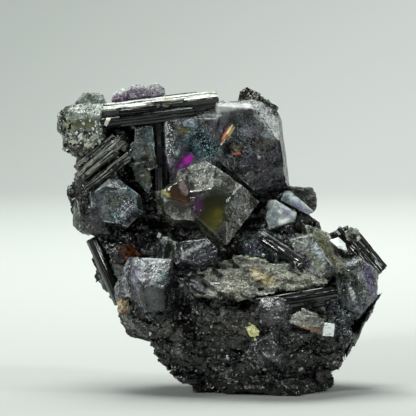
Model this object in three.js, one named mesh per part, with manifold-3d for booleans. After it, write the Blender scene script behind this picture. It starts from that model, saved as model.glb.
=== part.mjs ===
// A hand-sized mineral specimen: fluorite crystals and black schorl prisms grown on a dark matrix.
// Millimetres. X runs to the right across the show face, Y away from the viewer, Z up.
// The origin is the middle of the small flat spot that the specimen rests on.
import * as THREE from "three";
import { ConvexGeometry } from "three/addons/geometries/ConvexGeometry.js";
import { mergeVertices } from "three/addons/utils/BufferGeometryUtils.js";
import Module from "manifold-3d";

const wasm = await Module();
wasm.setup();

// Driving dimensions
const SPECIMEN_WIDTH = 44;
const SPECIMEN_HEIGHT = 42;
const SEAT_GAP = 0.3; // between a crystal and the socket that it grew in
const MERGE_STEP = 1e-4;
const GROUND = 0; // height of the flat spot

// Colours, roughness and metalness of the minerals
const fluoriteGrey = { color: 0x4a4750, roughness: 0.35, metalness: 0 };
const fluoriteOlive = { color: 0x4c4a38, roughness: 0.25, metalness: 0 };
const fluoritePale = { color: 0xa9b3b0, roughness: 0.3, metalness: 0 };
const fluoritePurple = { color: 0x5a3f66, roughness: 0.3, metalness: 0 };
const schorlBlack = { color: 0x0d0e0f, roughness: 0.22, metalness: 0 };
const schorlBrown = { color: 0x2a2620, roughness: 0.4, metalness: 0 };
const rockDark = { color: 0x1d1d1e, roughness: 0.6, metalness: 0 };
const feldsparGrey = { color: 0x7d776b, roughness: 0.6, metalness: 0 };
const micaSilver = { color: 0xe8ebea, roughness: 0.15, metalness: 0 };
const grainYellow = { color: 0xb9b06a, roughness: 0.4, metalness: 0 };
const grainRust = { color: 0x9a7148, roughness: 0.6, metalness: 0 };

// Repeatable chance, so that the rock is the same each time
function dice(seed) {
  let state = seed;
  return () => {
    state = (state + 0x6d2b79f5) | 0;
    let mixed = Math.imul(state ^ (state >>> 15), 1 | state);
    mixed = (mixed + Math.imul(mixed ^ (mixed >>> 7), 61 | mixed)) ^ mixed;
    return ((mixed ^ (mixed >>> 14)) >>> 0) / 4294967296;
  };
}

const vector = ([x, y, z]) => new THREE.Vector3(x, y, z);
const Y_AXIS = new THREE.Vector3(0, 1, 0);
const Z_AXIS = new THREE.Vector3(0, 0, 1);
const GOLDEN_ANGLE = Math.PI * (3 - Math.sqrt(5));

// A closed three.js geometry as a solid that can be joined and cut
function solidOf(geometry) {
  const bare = new THREE.BufferGeometry();
  bare.setAttribute("position", geometry.getAttribute("position"));
  if (geometry.index) bare.setIndex(geometry.index);
  const merged = mergeVertices(bare, MERGE_STEP);
  return new wasm.Manifold(
    new wasm.Mesh({
      numProp: 3,
      vertProperties: new Float32Array(merged.attributes.position.array),
      triVerts: new Uint32Array(merged.index.array),
    }),
  );
}

function geometryOf(solid) {
  const mesh = solid.getMesh();
  const positions = new Float32Array(mesh.numVert * 3);
  for (let i = 0; i < mesh.numVert; i += 1) {
    positions.set(mesh.vertProperties.subarray(i * mesh.numProp, i * mesh.numProp + 3), i * 3);
  }
  const geometry = new THREE.BufferGeometry();
  geometry.setAttribute("position", new THREE.BufferAttribute(positions, 3));
  geometry.setIndex(new THREE.BufferAttribute(mesh.triVerts, 1));
  geometry.computeVertexNormals();
  return geometry;
}

const joined = (solids) => solids.reduce((whole, next) => whole.add(next));

// A crystal's flat faces, as planes that face outwards
function facePlanes(points) {
  const corners = new ConvexGeometry(points).getAttribute("position");
  const planes = [];
  for (let i = 0; i < corners.count; i += 3) {
    const [a, b, c] = [0, 1, 2].map((k) => new THREE.Vector3().fromBufferAttribute(corners, i + k));
    const plane = new THREE.Plane().setFromCoplanarPoints(a, b, c);
    const sameWay = (p) => p.normal.dot(plane.normal) > 0.9999;
    const sameReach = (p) => Math.abs(p.constant - plane.constant) < 1e-3;
    if (!planes.some((p) => sameWay(p) && sameReach(p))) planes.push(plane);
  }
  return planes;
}

// The corners where three of the planes meet, each plane first moved out by a margin
function cornersOf(planes, margin) {
  const moved = planes.map((p) => ({ normal: p.normal, reach: -p.constant + margin }));
  const corners = [];
  const inside = (point) => moved.every((p) => p.normal.dot(point) < p.reach + 1e-6);
  for (let i = 0; i < moved.length; i += 1) {
    for (let j = i + 1; j < moved.length; j += 1) {
      for (let k = j + 1; k < moved.length; k += 1) {
        const [p, q, r] = [moved[i], moved[j], moved[k]];
        const across = new THREE.Vector3().crossVectors(q.normal, r.normal);
        const volume = p.normal.dot(across);
        if (Math.abs(volume) < 1e-5) continue;
        const point = across.multiplyScalar(p.reach)
          .add(new THREE.Vector3().crossVectors(r.normal, p.normal).multiplyScalar(q.reach))
          .add(new THREE.Vector3().crossVectors(p.normal, q.normal).multiplyScalar(r.reach))
          .divideScalar(volume);
        if (inside(point)) corners.push(point);
      }
    }
  }
  return corners;
}

// A crystal with flat faces between its corners, and the room that its neighbours leave for it
function crystal(...corners) {
  const points = corners.map(vector);
  return {
    solid: solidOf(new ConvexGeometry(points)),
    room: solidOf(new ConvexGeometry(cornersOf(facePlanes(points), SEAT_GAP))),
  };
}

// Crystals that grew through one another are one solid
function intergrown(...crystals) {
  return {
    solid: joined(crystals.map((c) => c.solid)),
    room: joined(crystals.map((c) => c.room)),
  };
}

// The rounded three-sided outline of a schorl crystal, grooved all round
const GROOVES = 10;
const GROOVE_DEPTH = 0.07;
const TRIANGLE_SHARE = 0.09;
const LARGEST_RADIUS = 1 + TRIANGLE_SHARE + GROOVE_DEPTH;
const SLEEVE_SIDES = 8; // of the room left round a prism

function schorlOutline(radius, random) {
  const outline = new THREE.Shape();
  const turn = random() * Math.PI;
  for (let i = 0; i < 2 * GROOVES; i += 1) {
    const angle = (i / (2 * GROOVES)) * 2 * Math.PI;
    const groove = i % 2 ? -GROOVE_DEPTH * (0.4 + 0.6 * random()) : GROOVE_DEPTH * random();
    const reach = radius * (1 + TRIANGLE_SHARE * Math.cos(3 * angle + turn) + groove);
    const point = [reach * Math.cos(angle), reach * Math.sin(angle)];
    if (i === 0) outline.moveTo(...point);
    else outline.lineTo(...point);
  }
  outline.closePath();
  return outline;
}

// The low three-faced cap that closes a whole schorl crystal
function cap(radius, length, slope) {
  const wide = radius * 5;
  const ring = [0, 1, 2].map((i) => (i / 3) * 2 * Math.PI);
  const around = (height) => ring.map((a) => new THREE.Vector3(wide * Math.cos(a), wide * Math.sin(a), height));
  const low = around(-radius);
  const high = around(length - wide * slope);
  return solidOf(new ConvexGeometry([...low, ...high, new THREE.Vector3(0, 0, length)]));
}

// A grooved schorl prism from one end to the other; a capped one comes to a low point
function prism(start, end, radius, { seed = 1, capped = false } = {}) {
  const random = dice(seed);
  const axis = vector(end).sub(vector(start));
  const length = axis.length();
  const placing = new THREE.Matrix4().compose(
    vector(start),
    new THREE.Quaternion().setFromUnitVectors(Z_AXIS, axis.normalize()),
    new THREE.Vector3(1, 1, 1),
  );
  const outline = schorlOutline(radius, random);
  const bar = new THREE.ExtrudeGeometry(outline, { depth: length, bevelEnabled: false });
  let solid = solidOf(bar);
  if (capped) solid = solid.intersect(cap(radius, length, 0.42));
  const reach = (radius * LARGEST_RADIUS + SEAT_GAP) / Math.cos(Math.PI / SLEEVE_SIDES);
  const sleeve = new THREE.CylinderGeometry(reach, reach, length + 2 * SEAT_GAP, SLEEVE_SIDES);
  sleeve.rotateX(Math.PI / 2).translate(0, 0, length / 2);
  return {
    solid: solid.transform(placing.elements),
    room: solidOf(sleeve).transform(placing.elements),
  };
}

// A rough block with flat breaks, from chance points on an ellipsoid that dips to the right
function block(centre, radii, random, corners, dip) {
  const points = [];
  for (let i = 0; i < corners; i += 1) {
    const up = 1 - (2 * (i + 0.5)) / corners;
    const round = i * GOLDEN_ANGLE + random() * 0.9;
    const out = Math.sqrt(1 - up * up);
    const reach = 0.88 + 0.24 * random();
    const point = new THREE.Vector3(
      radii[0] * reach * out * Math.cos(round),
      radii[1] * reach * out * Math.sin(round),
      radii[2] * reach * up,
    );
    points.push(point.applyAxisAngle(Y_AXIS, dip).add(vector(centre)));
  }
  return solidOf(new ConvexGeometry(points));
}

// The fluorites, nearest and largest first
const bigFluorite = () => {
  const main = crystal(
    [-6.7, -0.8, 37.1], [-2.4, -0.6, 38.9], [0.2, -0.8, 38.8], [1.6, -1.9, 36.2], [4.1, -0.8, 33.7],
    [4.8, -0.5, 28.1], [0.6, -2.4, 27.3], [-3.3, -3.2, 29.9], [-1.3, 1.9, 39.5], [2.4, 1.6, 39.2],
    [3.6, 0.8, 38], [4.6, 4.5, 31], [0.6, 6.5, 29.5], [-5.4, 6, 33], [-6.1, 3.6, 37.3],
  );
  const twin = crystal(
    [-11.7, -0.5, 36.2], [-10.5, -1.2, 36.9], [-6.3, 0.3, 38.3], [-11.1, -0.8, 30], [-10.1, -0.5, 28.7],
    [-7, -2.9, 32.8], [-5.4, -1.9, 30.1], [-4.5, -1.3, 34.1], [-10.2, 3.2, 35.3], [-9.5, 3.4, 29.5],
    [-5.6, 4.2, 35], [-5.2, 4.4, 29.6],
  );
  const whole = intergrown(main, twin);
  const imprint = crystal(
    [-9, -4, 34], [-6.7, -4, 36.3], [-4.3, -4, 34.4], [-4.8, -4.2, 31.4], [-7.5, -4.4, 30.5],
    [-7.7, 0, 33.7], [-6.4, 0.4, 34.7], [-5.5, 0, 33], [-6.8, -0.2, 32.4],
  );
  return { solid: whole.solid.subtract(imprint.solid), room: whole.room };
};

const frontFluorite = () => intergrown(
  crystal(
    [-5.8, -3.2, 31.8], [1, -3.2, 25.6], [-3.8, -3.8, 20.2], [-4.7, -7, 28.1], [-9, -5.1, 28.7],
    [-10.2, -3.2, 29.1], [-7.8, -5.1, 24.4], [-4.3, 1.4, 25.2], [-8.6, -0.5, 26], [-1.9, 0, 27.5],
  ),
  crystal(
    [-12.1, -3, 27.5], [-11.7, -3.5, 26.4], [-9.1, -4.1, 29.4], [-8.7, -4.9, 26.1], [-11, -3.8, 26],
    [-9.7, -2.4, 29.8], [-10, -0.5, 27.3],
  ),
  crystal(
    [-12.1, -2.7, 25.7], [-11.6, -3.2, 24.4], [-9.4, -3.2, 23.1], [-7.7, -3.9, 24], [-8.3, -4.3, 26.1],
    [-11, -3.4, 26.5], [-9.4, -0.3, 24.9],
  ),
);

const leftFluorite = () => crystal(
  [-19.1, -1.6, 29.5], [-16.4, -1.9, 28.1], [-14.4, -1.6, 25.4], [-14.8, -1.6, 23.7], [-16.8, -2.2, 21.8],
  [-20.2, -1.9, 23.2], [-21.3, -1.3, 24.5], [-21.7, -1.1, 26.5], [-18.5, -3.4, 27.9], [-16.5, -3.8, 26.2],
  [-17.6, -3.6, 24], [-18.2, 1.9, 25.8], [-16.2, 1.1, 24.5], [-20.3, 1.1, 26.4],
);

const middleFluorite = () => intergrown(
  crystal(
    [-15.5, -0.4, 35.8], [-13.1, -0.7, 36.1], [-12.8, -0.8, 33.1], [-15.6, -0.5, 33.1],
    [-15.3, 2.6, 35.6], [-13.1, 2.6, 35.6], [-12.8, 2.6, 33.1], [-15.4, 2.6, 33.1],
  ),
  crystal(
    [-17.1, -0.8, 32.4], [-15.7, -1.1, 33.9], [-13, -1.3, 33.5], [-12.4, -1.3, 30.3], [-14.8, -1.1, 29.8],
    [-16.6, -0.8, 30.6], [-15.6, 2.6, 32.6], [-13.5, 2.6, 32.6], [-13.5, 2.4, 30.2],
  ),
  crystal(
    [-15.8, -0.8, 30.2], [-13.5, -1.3, 30.2], [-13.2, -1.1, 27.9], [-13.7, -0.8, 26.8], [-15.4, -0.8, 28.4],
    [-15.1, 2.1, 30], [-13.5, 2.1, 28.6],
  ),
);

const paleFluorite = () => intergrown(
  crystal(
    [-25.4, -0.8, 37.3], [-24.2, -0.5, 38.9], [-20.4, -1.1, 39.2], [-19.1, -1.1, 37.8], [-19.2, -1.3, 35.7],
    [-20.8, -1.6, 34], [-23.4, -1.6, 33.6], [-25, -1.1, 34.9], [-22.5, -2.4, 37.1], [-24.4, 2.4, 37.7],
    [-20.6, 2.4, 38], [-21.7, 2.1, 34.6],
  ),
  crystal(
    [-24, 3.5, 39.1], [-23.1, 4.1, 40.3], [-21.1, 4.1, 40.5], [-19.6, 3.8, 39.6], [-19.8, 3.2, 38.3],
    [-23.4, 3.5, 38], [-21.6, 1.7, 39.2], [-22.1, 5.6, 38.6], [-21.8, 3, 36.8],
  ),
  crystal(
    [-25.5, 2.2, 35.4], [-24.7, 2.6, 36.9], [-22.6, 2.8, 37], [-22.4, 2.4, 33], [-23.8, 2, 31.6],
    [-25.2, 2.2, 33], [-24.2, 0.6, 34.4], [-23.8, 4.8, 34.6],
  ),
);

const topFluorite = () => intergrown(
  crystal(
    [-19, 1.1, 39], [-18.5, 1.6, 40.3], [-17.3, 1.9, 41], [-15.7, 1.6, 40.5], [-15.2, 1.1, 38.8],
    [-17.1, 4.2, 39.3], [-17.4, 2.2, 37.4],
  ),
  crystal(
    [-17, 1.1, 39.3], [-16.5, 1.6, 41.3], [-14.9, 1.9, 41.7], [-13.3, 1.6, 40.7], [-13.4, 1.1, 38.9],
    [-15.2, 4.4, 39.6], [-15, 2.4, 37.6],
  ),
  crystal(
    [-14.8, 1.1, 39.4], [-13.8, 1.9, 41.4], [-12.6, 2.2, 41.8], [-11.5, 1.9, 40.9], [-11.1, 1.3, 39.4],
    [-12.9, 4.4, 39.7], [-12.8, 2.4, 37.8],
  ),
);

const whiteFluorite = () => crystal(
  [3.6, -1.1, 25.7], [6.4, -1.2, 23.7], [4.1, -1.6, 22], [2.1, -1.1, 23.4],
  [4.6, -3, 24.2], [2.9, -1.9, 22.5], [4.5, 1.6, 23.7],
);

const bladeFluorite = () => crystal(
  [4.6, -0.1, 27.3], [5.4, -0.4, 27.3], [8.6, -0.8, 24.5], [7.9, -0.9, 23.9], [6.2, -1.2, 25],
  [4, -0.9, 26], [4.6, 0.9, 26.4], [8, 0.6, 24.4],
);

const ridgeFluorite = () => crystal(
  [-9.6, -6.2, 18.9], [-8.8, -6.5, 19.5], [-5.4, -5.9, 21], [-3.9, -6.5, 19.7], [-4.9, -7.3, 18.1],
  [-6.7, -7.8, 16.5], [-9.4, -7.6, 17.4], [-6.7, -3, 18.6], [-8.7, -3.8, 17.6], [-5.1, -4.1, 17.9],
);

const cornerFluorite = () => intergrown(
  crystal(
    [-15.6, -5.4, 17.9], [-13.6, -5.9, 18.3], [-11.4, -6.2, 18.6], [-10.7, -7.3, 16.3], [-12, -7.6, 14.6],
    [-13.6, -7.3, 15], [-16.3, -5.9, 14.5], [-16.9, -5.1, 14.1], [-14.1, -2.2, 15.8], [-12.4, -2.7, 14.3],
    [-15.5, -3, 14.6],
  ),
  crystal(
    [-13.3, -7.3, 15.2], [-11.4, -7.8, 15], [-11.2, -7.3, 12.4], [-13.4, -6.7, 11.4], [-14.4, -6.2, 13.3],
    [-13.2, -2.7, 12.7], [-11.8, -3.2, 12.4],
  ),
);

const rightFluorite = () => crystal(
  [11.3, -3.5, 17.8], [13.6, -3, 18.7], [15.8, -1.9, 17.3], [17, -1.1, 14.4], [16.7, -1.1, 12.3],
  [15.1, -1.9, 10.4], [13.3, -2.7, 10.2], [12, -3.8, 12.6], [12.6, -4.5, 15.5], [14.5, 2.6, 14.2],
  [15.8, 1.6, 12.2],
);

const slopeFluorite = () => crystal(
  [6.5, -3.5, 20.8], [7.7, -3.2, 21.2], [11.8, -4.6, 16.6], [10.6, -5.4, 15.5], [6.5, -5.7, 17.9],
  [5.9, -4.6, 19.6], [8.1, -1.3, 17.6], [10.1, -1.9, 16.6],
);

const oliveFluorite = () => crystal(
  [8.3, -1.6, 21.4], [9.8, -0.8, 22.1], [11.8, -2.4, 19.4], [12.8, -3.5, 17], [11.7, -4.1, 16.2],
  [9.9, -3.2, 17.8], [9.8, 1.4, 19.8], [11.6, 0.4, 17.5],
);

const upperKnob = () => crystal(
  [0.8, -8.9, 10.9], [1.4, -8.9, 12.1], [3.1, -8.9, 12.5], [4.7, -8.6, 11.7], [5, -8.9, 10.2],
  [3.1, -9.5, 9.4], [1.2, -9.5, 9.7], [2.7, -10.3, 11.3], [2.8, -5.4, 10.6],
);

const lowerKnob = () => crystal(
  [0.3, -7.6, 6.9], [1.5, -7.8, 7.9], [3.3, -7.8, 7.7], [4.2, -7.6, 6.4], [3.5, -6.8, 4.4],
  [1.5, -6.5, 4.2], [1.9, -9.2, 6.4], [2.3, -4, 5.7],
);

const edgeFluorite = () => crystal(
  [-24, 0, 24.6], [-23.5, -0.4, 26.4], [-22.5, -0.8, 25.4], [-21.9, -1, 22.6], [-23, -0.6, 21.6],
  [-24, 0.2, 22.4], [-23, -1.4, 24.2], [-22.4, 2, 24],
);

const pointFluorite = () => intergrown(
  crystal(
    [-12.7, -4.1, 18], [-11.9, -4.1, 21.4], [-11, -4.6, 21.4], [-10.3, -4.1, 20.8], [-10.5, -4.3, 18],
    [-11.8, -5.1, 18], [-11.6, -2.2, 18.6],
  ),
  crystal(
    [-10.9, -4.6, 18], [-10.2, -4.1, 20.8], [-9.7, -4.3, 20.6], [-8.6, -4.9, 18.6], [-9.7, -5.4, 18],
    [-10, -2.4, 18.4],
  ),
);

const capFluorite = () => crystal(
  [12.7, -0.8, 21.7], [13.5, -0.3, 22.4], [14.7, -0.3, 22], [15, -0.5, 20.8], [14.1, -1.1, 20.2],
  [13, -1.3, 20.6], [13.9, 1.9, 20.4],
);

// The back of the specimen carries three more fluorites
const backFluoriteHigh = () => crystal(
  [-17, 7.6, 33.6], [-12.2, 8.6, 33.8], [-10.6, 8.9, 29.8], [-14.2, 9.2, 26.2], [-18.6, 7.4, 29.2],
  [-14.2, 11.2, 31], [-14.6, 3.6, 30.4], [-11.8, 4.2, 28.2],
);

const backFluoriteLow = () => crystal(
  [-3.2, 9.4, 20.6], [1.4, 9.6, 22.4], [5.6, 8.6, 19.6], [4.6, 9.4, 14.8], [-0.6, 9.8, 13.6],
  [-4.4, 9, 16.6], [0.8, 12, 18], [1, 4.4, 17.8],
);

const backFluoriteSmall = () => crystal(
  [9.2, 7.4, 13.8], [12, 7.2, 14.2], [13.6, 6.4, 11.2], [11.8, 7.4, 8.8], [9, 8, 10.2],
  [11.2, 9, 11.8], [10.8, 3.8, 11.4],
);

// Schorl prisms
const topSchorl = () => intergrown(
  prism([-19.8, 0, 37.6], [-4.6, 0.6, 39.4], 1.35, { seed: 11 }),
  prism([-20.4, -1, 36.3], [-7.6, -0.6, 37.9], 0.75, { seed: 12 }),
  prism([-18.6, 1.5, 37.3], [-6.2, 1.9, 38.9], 1.1, { seed: 13 }),
  prism([-17.5, -1, 37.7], [-10.4, -0.5, 38.5], 0.5, { seed: 14 }),
);

const leftSchorl = () => intergrown(
  prism([-23.3, -1.8, 28.7], [-17.2, -1, 34], 1.05, { seed: 21 }),
  prism([-21.9, -2.3, 27.4], [-16.3, -1.4, 31.9], 0.75, { seed: 22 }),
  prism([-23.6, -0.9, 30.2], [-18.2, -0.2, 34.6], 0.9, { seed: 23 }),
  prism([-22.4, -2.3, 28.9], [-18.1, -1.7, 32.6], 0.5, { seed: 24 }),
);

const uprightSchorl = () => intergrown(
  prism([-12.2, 0.4, 37], [-11.9, 0.4, 24.5], 0.8, { seed: 31 }),
  prism([-11.6, 1.6, 36.5], [-11.4, 1.4, 25.5], 0.75, { seed: 32 }),
);

const crestSchorl = () => crystal(
  [-1.7, 2.4, 39.3], [-1.3, 2.4, 40.7], [-0.4, 2.6, 41.2], [0.5, 2.6, 40.7], [4, 2.2, 38.4],
  [3.5, 2.3, 37.3], [-0.7, 2.4, 38], [-0.8, 5.4, 39], [1.7, 5, 38], [0.4, 6, 35],
);

const shoulderSchorl = () => intergrown(
  prism([11.4, 1, 20.9], [17, 1.2, 15], 1.5, { seed: 41 }),
  prism([13.6, 2.6, 21], [17.8, 2.4, 16], 1.3, { seed: 42 }),
  prism([10.6, 1.4, 20.4], [13.4, 1.6, 21.6], 0.8, { seed: 43 }),
);

const brownSchorl = () => intergrown(
  prism([3.6, 3.6, 25.2], [8.5, 2.2, 25.9], 1.35, { seed: 44 }),
  crystal(
    [5.3, 1.4, 27.5], [7.8, 1.1, 27.1], [8.8, 1.1, 25.9], [8.8, 1, 25.1], [8.3, 1, 24.3],
    [5.7, 1.1, 26.4], [5.8, 3.2, 27.1], [7.9, 3.2, 26.6], [7.9, 2.9, 24.4],
  ),
);

const stubSchorl = () => prism([4.2, 0.4, 20.4], [7.6, -0.4, 23.5], 1.25, { seed: 45 });

const shelfSchorl = () => intergrown(
  prism([0.9, -8.2, 12.6], [11.1, -6.4, 14], 0.85, { seed: 51 }),
  prism([3.4, -7.5, 11.7], [9.8, -6.4, 13], 0.8, { seed: 52 }),
);

const sharpSchorl = () => prism([1.6, -3.4, 21.3], [6.8, -6.3, 18], 0.85, { seed: 53, capped: true });

const edgeSchorl = () => intergrown(
  prism([-22, 0.2, 21.4], [-17.6, -0.8, 11.9], 0.8, { seed: 61 }),
  prism([-21.4, 1.4, 21], [-17.4, 0.6, 12.6], 0.8, { seed: 62 }),
);

const flankSchorl = () => crystal(
  [17.9, -0.3, 13.5], [17.3, -1.1, 12.6], [15.1, -1.9, 8.5], [12.8, -2.2, 4.3], [13.4, -3, 6.6],
  [16.4, -2.2, 11.6], [15, 2.9, 9.4], [12.6, 2.4, 5.3], [17.2, 2, 13],
);

const backSchorlHigh = () => intergrown(
  prism([-6.4, 8.2, 23.4], [-1.2, 7.6, 37], 1.2, { seed: 71, capped: true }),
  prism([-4.2, 8.8, 22.8], [1.6, 7.4, 33.8], 1, { seed: 72, capped: true }),
);

const backSchorlLow = () => intergrown(
  prism([-12.6, 7, 9.6], [-6.2, 7.6, 23.2], 1.3, { seed: 73 }),
  prism([-14.8, 6.2, 10.6], [-9.4, 7.2, 24.4], 1, { seed: 74 }),
);

const backSchorlBase = () => prism([-6.4, 6.4, 5.4], [9.4, 6.6, 7.6], 1.3, { seed: 75, capped: true });

// Feldspar, mica and the other small minerals of the show face
const feldsparShelf = () => intergrown(
  crystal(
    [-9.6, -7.2, 15.6], [-6.9, -7, 17.3], [-4.6, -6.6, 17.2], [-3.1, -7.4, 15.6], [-2.4, -8.8, 13.4],
    [-6.7, -8.7, 13.8], [-9.2, -7.9, 14.5], [-6, -4.2, 14.2], [-3, -4.2, 15],
  ),
  crystal(
    [-4.4, -6.2, 18], [-1.9, -5.4, 18.8], [1.8, -5.9, 18.3], [3.2, -6.9, 16.6], [3.4, -8.3, 14.2],
    [-1.6, -8.9, 13.2], [-3.8, -7.8, 15.4], [-1.4, -3.8, 14], [2, -3.8, 15],
  ),
  crystal(
    [1.4, -5.6, 18.2], [6.5, -6, 17.2], [10.6, -5, 15.4], [8.6, -6.8, 14.5], [3, -7.8, 14.8],
    [2, -6.8, 16.4], [5.3, -3.6, 14.6],
  ),
  crystal(
    [-0.6, -7.2, 17.6], [1.2, -7, 17.8], [2.8, -7.2, 17], [2.2, -7.9, 16], [0.6, -8.1, 15.7],
    [-0.2, -7.9, 16.4], [1, -5.6, 16.8],
  ),
);

const feldsparWedge = () => crystal(
  [4.5, -8.7, 10.9], [6.8, -8.7, 12], [8.8, -8.2, 11.4], [9.6, -7.9, 10.2], [9.2, -8.2, 8.8],
  [7.1, -9.3, 9.7], [5.1, -9.3, 10.5], [7.4, -4.9, 10.1],
);

const micaFlake = () => crystal(
  [9.5, -8.3, 10.3], [11.1, -7.8, 10.1], [10.9, -7.8, 8.3], [9.1, -8.3, 8.5], [9.7, -5.2, 9.6],
  [10.8, -4.9, 8.7],
);

const yellowGrain = () => crystal(
  [-0.8, -9.2, 10], [0.1, -9.4, 10.5], [1, -9.4, 9.4], [0.6, -9.2, 8.1], [-0.4, -9.4, 9], [0.1, -6.4, 9.2],
);

const rustGrain = () => crystal(
  [-18, -2.4, 12.6], [-17.2, -2.6, 13.6], [-16.3, -3.2, 12.8], [-16.5, -3.4, 10.9], [-17.6, -2.8, 11],
  [-17.1, -4, 12.2], [-16.6, -0.2, 12],
);

const brightFlake = () => crystal(
  [10.6, -2.6, 20.7], [11.8, -2.4, 21.1], [12.8, -2.6, 20.2], [12.9, -3.2, 19.3], [11.7, -3.7, 19.7],
  [12.1, -0.2, 20],
);

// The rock that carries them, as masses with a centre and half sizes, and the blocks that break the
// surface of each: how many, how large, and how far they dip to the right
const rockMasses = [
  { centre: [0.5, 0, 9], half: [11, 8, 6.4], blocks: 13, size: 2, dip: 0.18 },
  { centre: [10.1, 0.6, 10.6], half: [5.8, 6.4, 6.3], blocks: 6, size: 1.7, dip: 0.9 },
  { centre: [8.2, 0.4, 6], half: [5, 5.2, 4.6], blocks: 4, size: 1.4, dip: -0.5 },
  { centre: [-12.2, -0.2, 11.4], half: [5.8, 6, 4.8], blocks: 6, size: 1.5, dip: 0.5 },
  { centre: [-8.8, 0, 7], half: [4.8, 5.6, 5], blocks: 4, size: 1.5, dip: 0.6 },
  { centre: [1.2, 0, 2.8], half: [9.8, 6.8, 5.2], blocks: 6, size: 1.5, dip: 0.2 },
  { centre: [-6.4, 0, 4.2], half: [4.4, 5.4, 5], blocks: 2, size: 1.3, dip: 0.3 },
  { centre: [-16.7, 2.6, 17.4], half: [4.8, 4.2, 5.8], blocks: 3, size: 1.1, dip: 1 },
  { centre: [-20.1, 1.8, 26.4], half: [4.1, 4.2, 6.6], blocks: 3, size: 0.8, dip: 1.3 },
  { centre: [-20, 2.2, 33], half: [4.4, 4.2, 4.8], blocks: 3, size: 0.9, dip: -0.7 },
  { centre: [-11.6, 5, 26.4], half: [7.4, 3.8, 10.4], blocks: 6, size: 1.7, dip: 0.2 },
  { centre: [-2.2, 5, 28.2], half: [6.4, 3.8, 7.6], blocks: 4, size: 1.6, dip: 0.2 },
  { centre: [-1.2, 2, 19.4], half: [9, 6, 5.6], blocks: 5, size: 1.6, dip: 0.3 },
  { centre: [5.2, 1.8, 20.4], half: [4.4, 4.6, 5], blocks: 3, size: 1.3, dip: 0.8 },
  { centre: [3.8, 3.2, 24.4], half: [3.4, 3, 3.6], blocks: 0, size: 1, dip: 0 },
  { centre: [6.4, 1.6, 16], half: [5.4, 5.2, 4.4], blocks: 1, size: 1.2, dip: 0.8 },
  { centre: [11.9, 1.8, 16.6], half: [4.4, 4.6, 4.2], blocks: 3, size: 1.2, dip: 0.8 },
  { centre: [-11.6, 4, 35.8], half: [7.2, 3.2, 2.8], blocks: 2, size: 1.1, dip: 0 },
  { centre: [-9.8, 2, 17.2], half: [5.6, 5.6, 5], blocks: 3, size: 1.4, dip: 0.3 },
  { centre: [13, 0.6, 8.8], half: [2.4, 3, 3], blocks: 0, size: 1, dip: 0 },
];
const BLOCK_CORNERS = 8;
const BLOCK_SHAPE = [1.7, 1.05, 0.75];
const BLOCK_DEPTH = 0.88; // where a block's centre lies, as a share of its mass's half size
const MASS_CORNERS = 20;
const LEAST_DETAIL = 0.12;

function rock() {
  const random = dice(7);
  const pieces = [];
  for (const { centre, half, blocks, size, dip } of rockMasses) {
    pieces.push(block(centre, half, random, MASS_CORNERS, 0));
    for (let i = 0; i < blocks; i += 1) {
      const up = 1.7 * random() - 0.85;
      const round = 2 * Math.PI * random();
      const out = Math.sqrt(1 - up * up);
      const grown = size * (0.65 + 0.7 * random());
      const at = [
        centre[0] + BLOCK_DEPTH * half[0] * out * Math.cos(round),
        centre[1] + BLOCK_DEPTH * half[1] * out * Math.sin(round),
        centre[2] + BLOCK_DEPTH * half[2] * up,
      ];
      const shape = BLOCK_SHAPE.map((share) => share * grown);
      pieces.push(block(at, shape, random, BLOCK_CORNERS, dip + 0.5 * (random() - 0.5)));
    }
  }
  const above = new THREE.BoxGeometry(3 * SPECIMEN_WIDTH, 3 * SPECIMEN_WIDTH, 2 * SPECIMEN_HEIGHT);
  above.translate(0, 0, GROUND + SPECIMEN_HEIGHT);
  return joined(pieces).simplify(LEAST_DETAIL).intersect(solidOf(above));
}

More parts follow.
